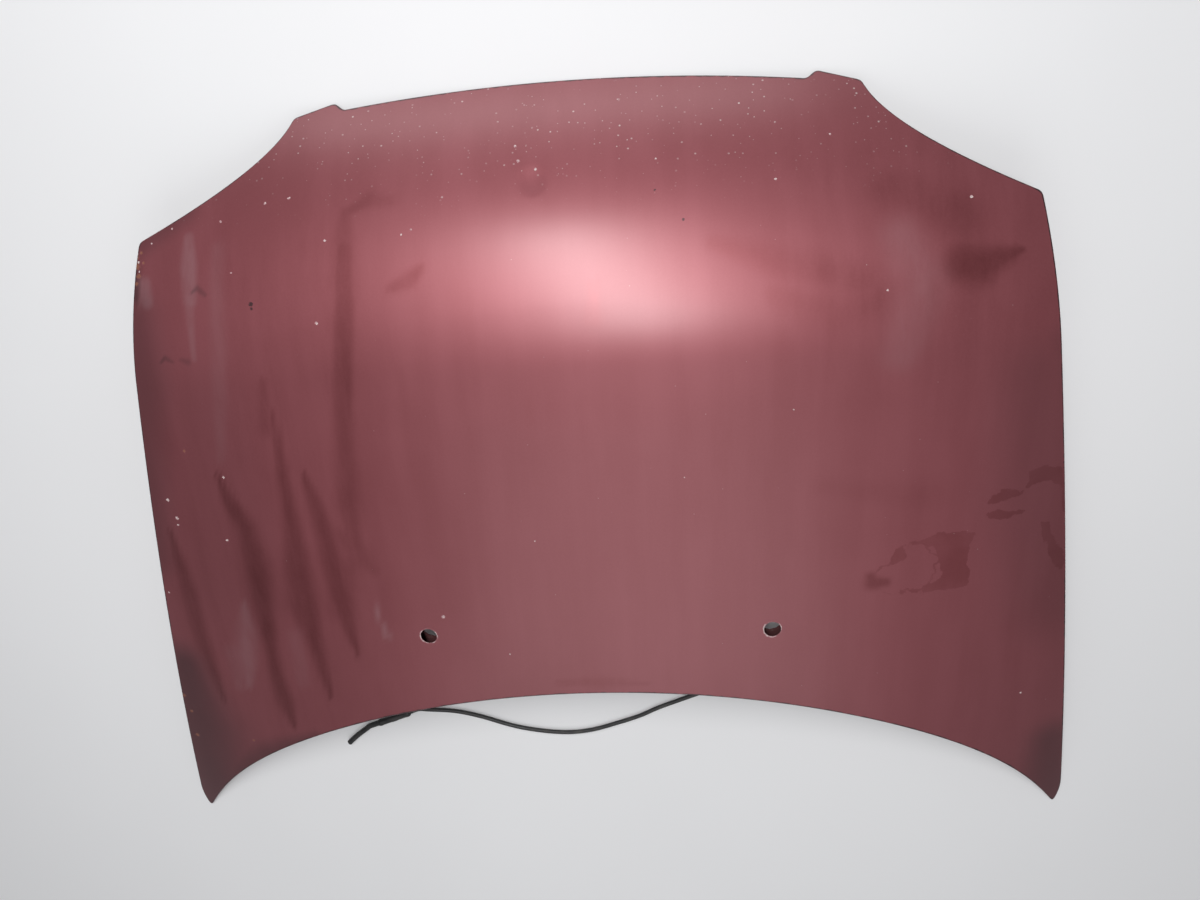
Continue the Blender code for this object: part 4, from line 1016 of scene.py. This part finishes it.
frameShape = {
    "sheet": 0.0007,
    "partner": (0.7, 1.35),    # sheets to the lower side's vertex, from and to
    "partnerDrop": 0.4,        # and how many it is lower at the least
    "rimInset": 0.00175,
    "rimDepth": 0.0011,
    "rimDepthReach": 0.0005,
    "rimReach": 0.004,
    "cuts": 2,
    "rounding": 3,      # how many times the creases are eased
    "flats": [          # places that stay as flat as the CAD has them: plan centre and half sizes
        ((0.532, 0.245), (0.03, 0.052)), ((0.0, 0.9), (0.054, 0.038)), ((0.227, 0.34), (0.03, 0.03)),
        ((0.375, 0.868), (0.018, 0.018)), ((0.3, 0.87), (0.022, 0.022)), ((0.15, 0.316), (0.021, 0.021)),
    ],
}


def mergedCopy(node, reach=0.00002):
    # a CAD node's mesh as a new piece, its loose triangles joined up
    item = newObject(node + "_piece", nodes[node].data.copy())
    activate(item)
    bpy.ops.object.mode_set(mode="EDIT")
    bpy.ops.mesh.select_all(action="SELECT")
    bpy.ops.mesh.remove_doubles(threshold=reach)
    return item


def flatPlace(place):
    # plan place and depth under the skin of a point, found in a few steps
    x, y = place.x, place.y
    for step in range(6):
        surface, normal = skinPoint(x, y), skinNormal(x, y)
        depth = (surface - place).dot(normal)
        x, y = (place + normal * depth).xy
    return Vector((x, y, depth))


def onFlat(point):
    return any(abs(abs(point.x) - centre[0]) < half[0] and abs(point.y - centre[1]) < half[1]
               for centre, half in frameShape["flats"])


def nearestOn(loop, point):
    best, reach = point, 1.0
    for start, end in zip(loop, loop[1:] + loop[:1]):
        run = end - start
        share = min(1, max(0, (point - start).dot(run) / run.length_squared))
        place = start + run * share
        if (place - point).length < reach:
            best, reach = place, (place - point).length
    return best


def makeFrame(settings, material):
    # laid out flat under the skin, made finer and smoother, then draped on the crown again
    half, sheet = panel["length"] / 2, settings["sheet"]
    item = mergedCopy("inner_frame")
    form = bmesh.from_edit_mesh(item.data)
    # only the pressing's upper side stays, and gets its thickness back at the end
    tree = KDTree(len(form.verts))
    for index, vertex in enumerate(form.verts):
        tree.insert(vertex.co, index)
    tree.balance()
    upper = set()
    for vertex in form.verts:
        for place, index, reach in tree.find_range(vertex.co, sheet * settings["partner"][1]):
            lower = place.z < vertex.co.z - sheet * settings["partnerDrop"]
            if lower and reach > sheet * settings["partner"][0]:
                upper.add(vertex)
    under = [face for face in form.faces if any(vertex not in upper for vertex in face.verts)]
    bmesh.ops.delete(form, geom=under, context="FACES")
    loose = [vertex for vertex in form.verts if not vertex.link_faces]
    bmesh.ops.delete(form, geom=loose, context="VERTS")
    for vertex in form.verts:
        vertex.co = flatPlace(vertex.co + Vector((0, half, 0)))
    selectFaces(item, lambda middle: not onFlat(middle))
    bpy.ops.mesh.subdivide(number_cuts=settings["cuts"])
    form = bmesh.from_edit_mesh(item.data)
    for turn in range(settings["rounding"]):
        depths = {}
        for vertex in form.verts:
            if not vertex.is_boundary and not onFlat(vertex.co):
                near = [edge.other_vert(vertex).co.z for edge in vertex.link_edges]
                depths[vertex] = (vertex.co.z + sum(near) / len(near)) / 2
        for vertex, depth in depths.items():
            vertex.co.z = depth
    loop = movedIn(panelLoop(), settings["rimInset"] - panel["hemRadius"])
    for vertex in form.verts:
        if vertex.is_boundary and abs(vertex.co.z - settings["rimDepth"]) < settings["rimDepthReach"]:
            place = nearestOn(loop, vertex.co.xy)
            if (place - vertex.co.xy).length < settings["rimReach"]:
                vertex.co.xy = place
    for vertex in form.verts:
        x, y, depth = vertex.co
        vertex.co = skinPoint(x, y) - skinNormal(x, y) * depth - Vector((0, half, 0))
    bmesh.update_edit_mesh(item.data)
    bpy.ops.object.mode_set(mode="OBJECT")
    thicken(item, sheet)
    dress(item, material)
    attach(item, "root")
    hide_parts("inner_frame")


def refine(node, material, width, degrees=35):
    # a merged copy of the CAD piece, with eased edges
    item = mergedCopy(node)
    bpy.ops.mesh.dissolve_limited(angle_limit=math.radians(fittings["flatAngle"]))
    bpy.ops.object.mode_set(mode="OBJECT")
    if width:
        bevel = item.modifiers.new("edges", "BEVEL")
        bevel.width = width
        bevel.segments = fittings["bevelSegments"]
        bevel.limit_method = "ANGLE"
        bevel.angle_limit = math.radians(fittings["bevelAngle"])
        applyModifiers(item)
    smoothShade(item, degrees)
    dress(item, material)
    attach(item, "root")
    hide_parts(node)


def makeFittings(settings):
    undercoat, zinc = plainMaterial("frameUndercoat"), plainMaterial("dullZinc")
    rubber, mastic = plainMaterial("blackRubber"), plainMaterial("greyMastic")
    makeFrame(frameShape, undercoat)
    for side in ("right", "left"):
        refine("hinge_reinforcement_" + side, undercoat, settings["edge"])
        refine("striker_nut_" + side, zinc, settings["edge"])
        refine("striker_bolt_" + side, zinc, settings["edge"])
        refine("buffer_" + side, rubber, 0)
        for end in ("rear", "front"):
            refine("hinge_nut_" + side + "_" + end, zinc, settings["edge"])
    refine("latch_reinforcement", undercoat, settings["edge"])
    refine("striker_plate", zinc, settings["edge"])
    refine("striker_loop", zinc, 0, degrees=60)
    refine("stay_socket", plainMaterial("blackNylon"), settings["edge"])
    refine("hose_grommet", rubber, settings["edge"])
    for name in nodes:
        if name.startswith("mastic"):
            refine(name, mastic, settings["masticEdge"])


makeFittings(fittings)
print("frame and fittings dressed")


# floor and light

studio = {
    "floor": (0.77, 0.77, 0.78),
    "floorClouds": 0.96,       # the floor's darker patches, as a share of its colour
    "floorSize": 14,
    "floorLevel": -0.0003,
    "world": (0.62, 0.63, 0.65),
    "worldStrength": 0.38,
    "lamps": {          # place, aim, width and height in metres, power in watts
        "highlight": ((-0.107, 0.97, 2.03), (0.033, 0.309, 0.123), 0.22, 1.8, 42),
        "sky": ((0.0, -1.7, 2.3), (0.0, -0.2, 0.0), 1.8, 2.2, 15),
        "horizon": ((-0.45, 3.6, 0.58), (0.0, 0.4, 0.1), 2.6, 0.4, 18),
    },
}


def floorMaterial(settings):
    net = Wiring("paleFloor")
    cloud = net.noise(1.8, 3)
    darker = tuple(value * settings["floorClouds"] for value in settings["floor"])
    tint = net.mix(net.ramp(cloud, 0.3, 0.7, 0.0, 0.5), settings["floor"], darker)
    return net.finish(tint, 0.75)


def addLamp(name, place, aim, width, height, power):
    data = bpy.data.lights.new(name, "AREA")
    data.shape = "RECTANGLE"
    data.size = width
    data.size_y = height
    data.energy = power
    lamp = newObject(name, data)
    turn = (Vector(place) - Vector(aim)).to_track_quat("Z", "Y").to_matrix().to_4x4()
    lamp.matrix_world = Matrix.Translation(place) @ turn


def makeStudio(settings):
    deselectAll()
    bpy.ops.mesh.primitive_plane_add(size=settings["floorSize"], location=(0, 0, settings["floorLevel"]))
    floor = bpy.context.active_object
    floor.name = "studioFloor"
    dress(floor, floorMaterial(settings))
    world = bpy.data.worlds.new("studio")
    world.use_nodes = True
    backdrop = world.node_tree.nodes["Background"]
    backdrop.inputs["Color"].default_value = (*settings["world"], 1)
    backdrop.inputs["Strength"].default_value = settings["worldStrength"]
    bpy.context.scene.world = world
    for name, values in settings["lamps"].items():
        addLamp(name, *values)
    bpy.context.scene.view_settings.view_transform = "Standard"


makeStudio(studio)
print("studio lit")
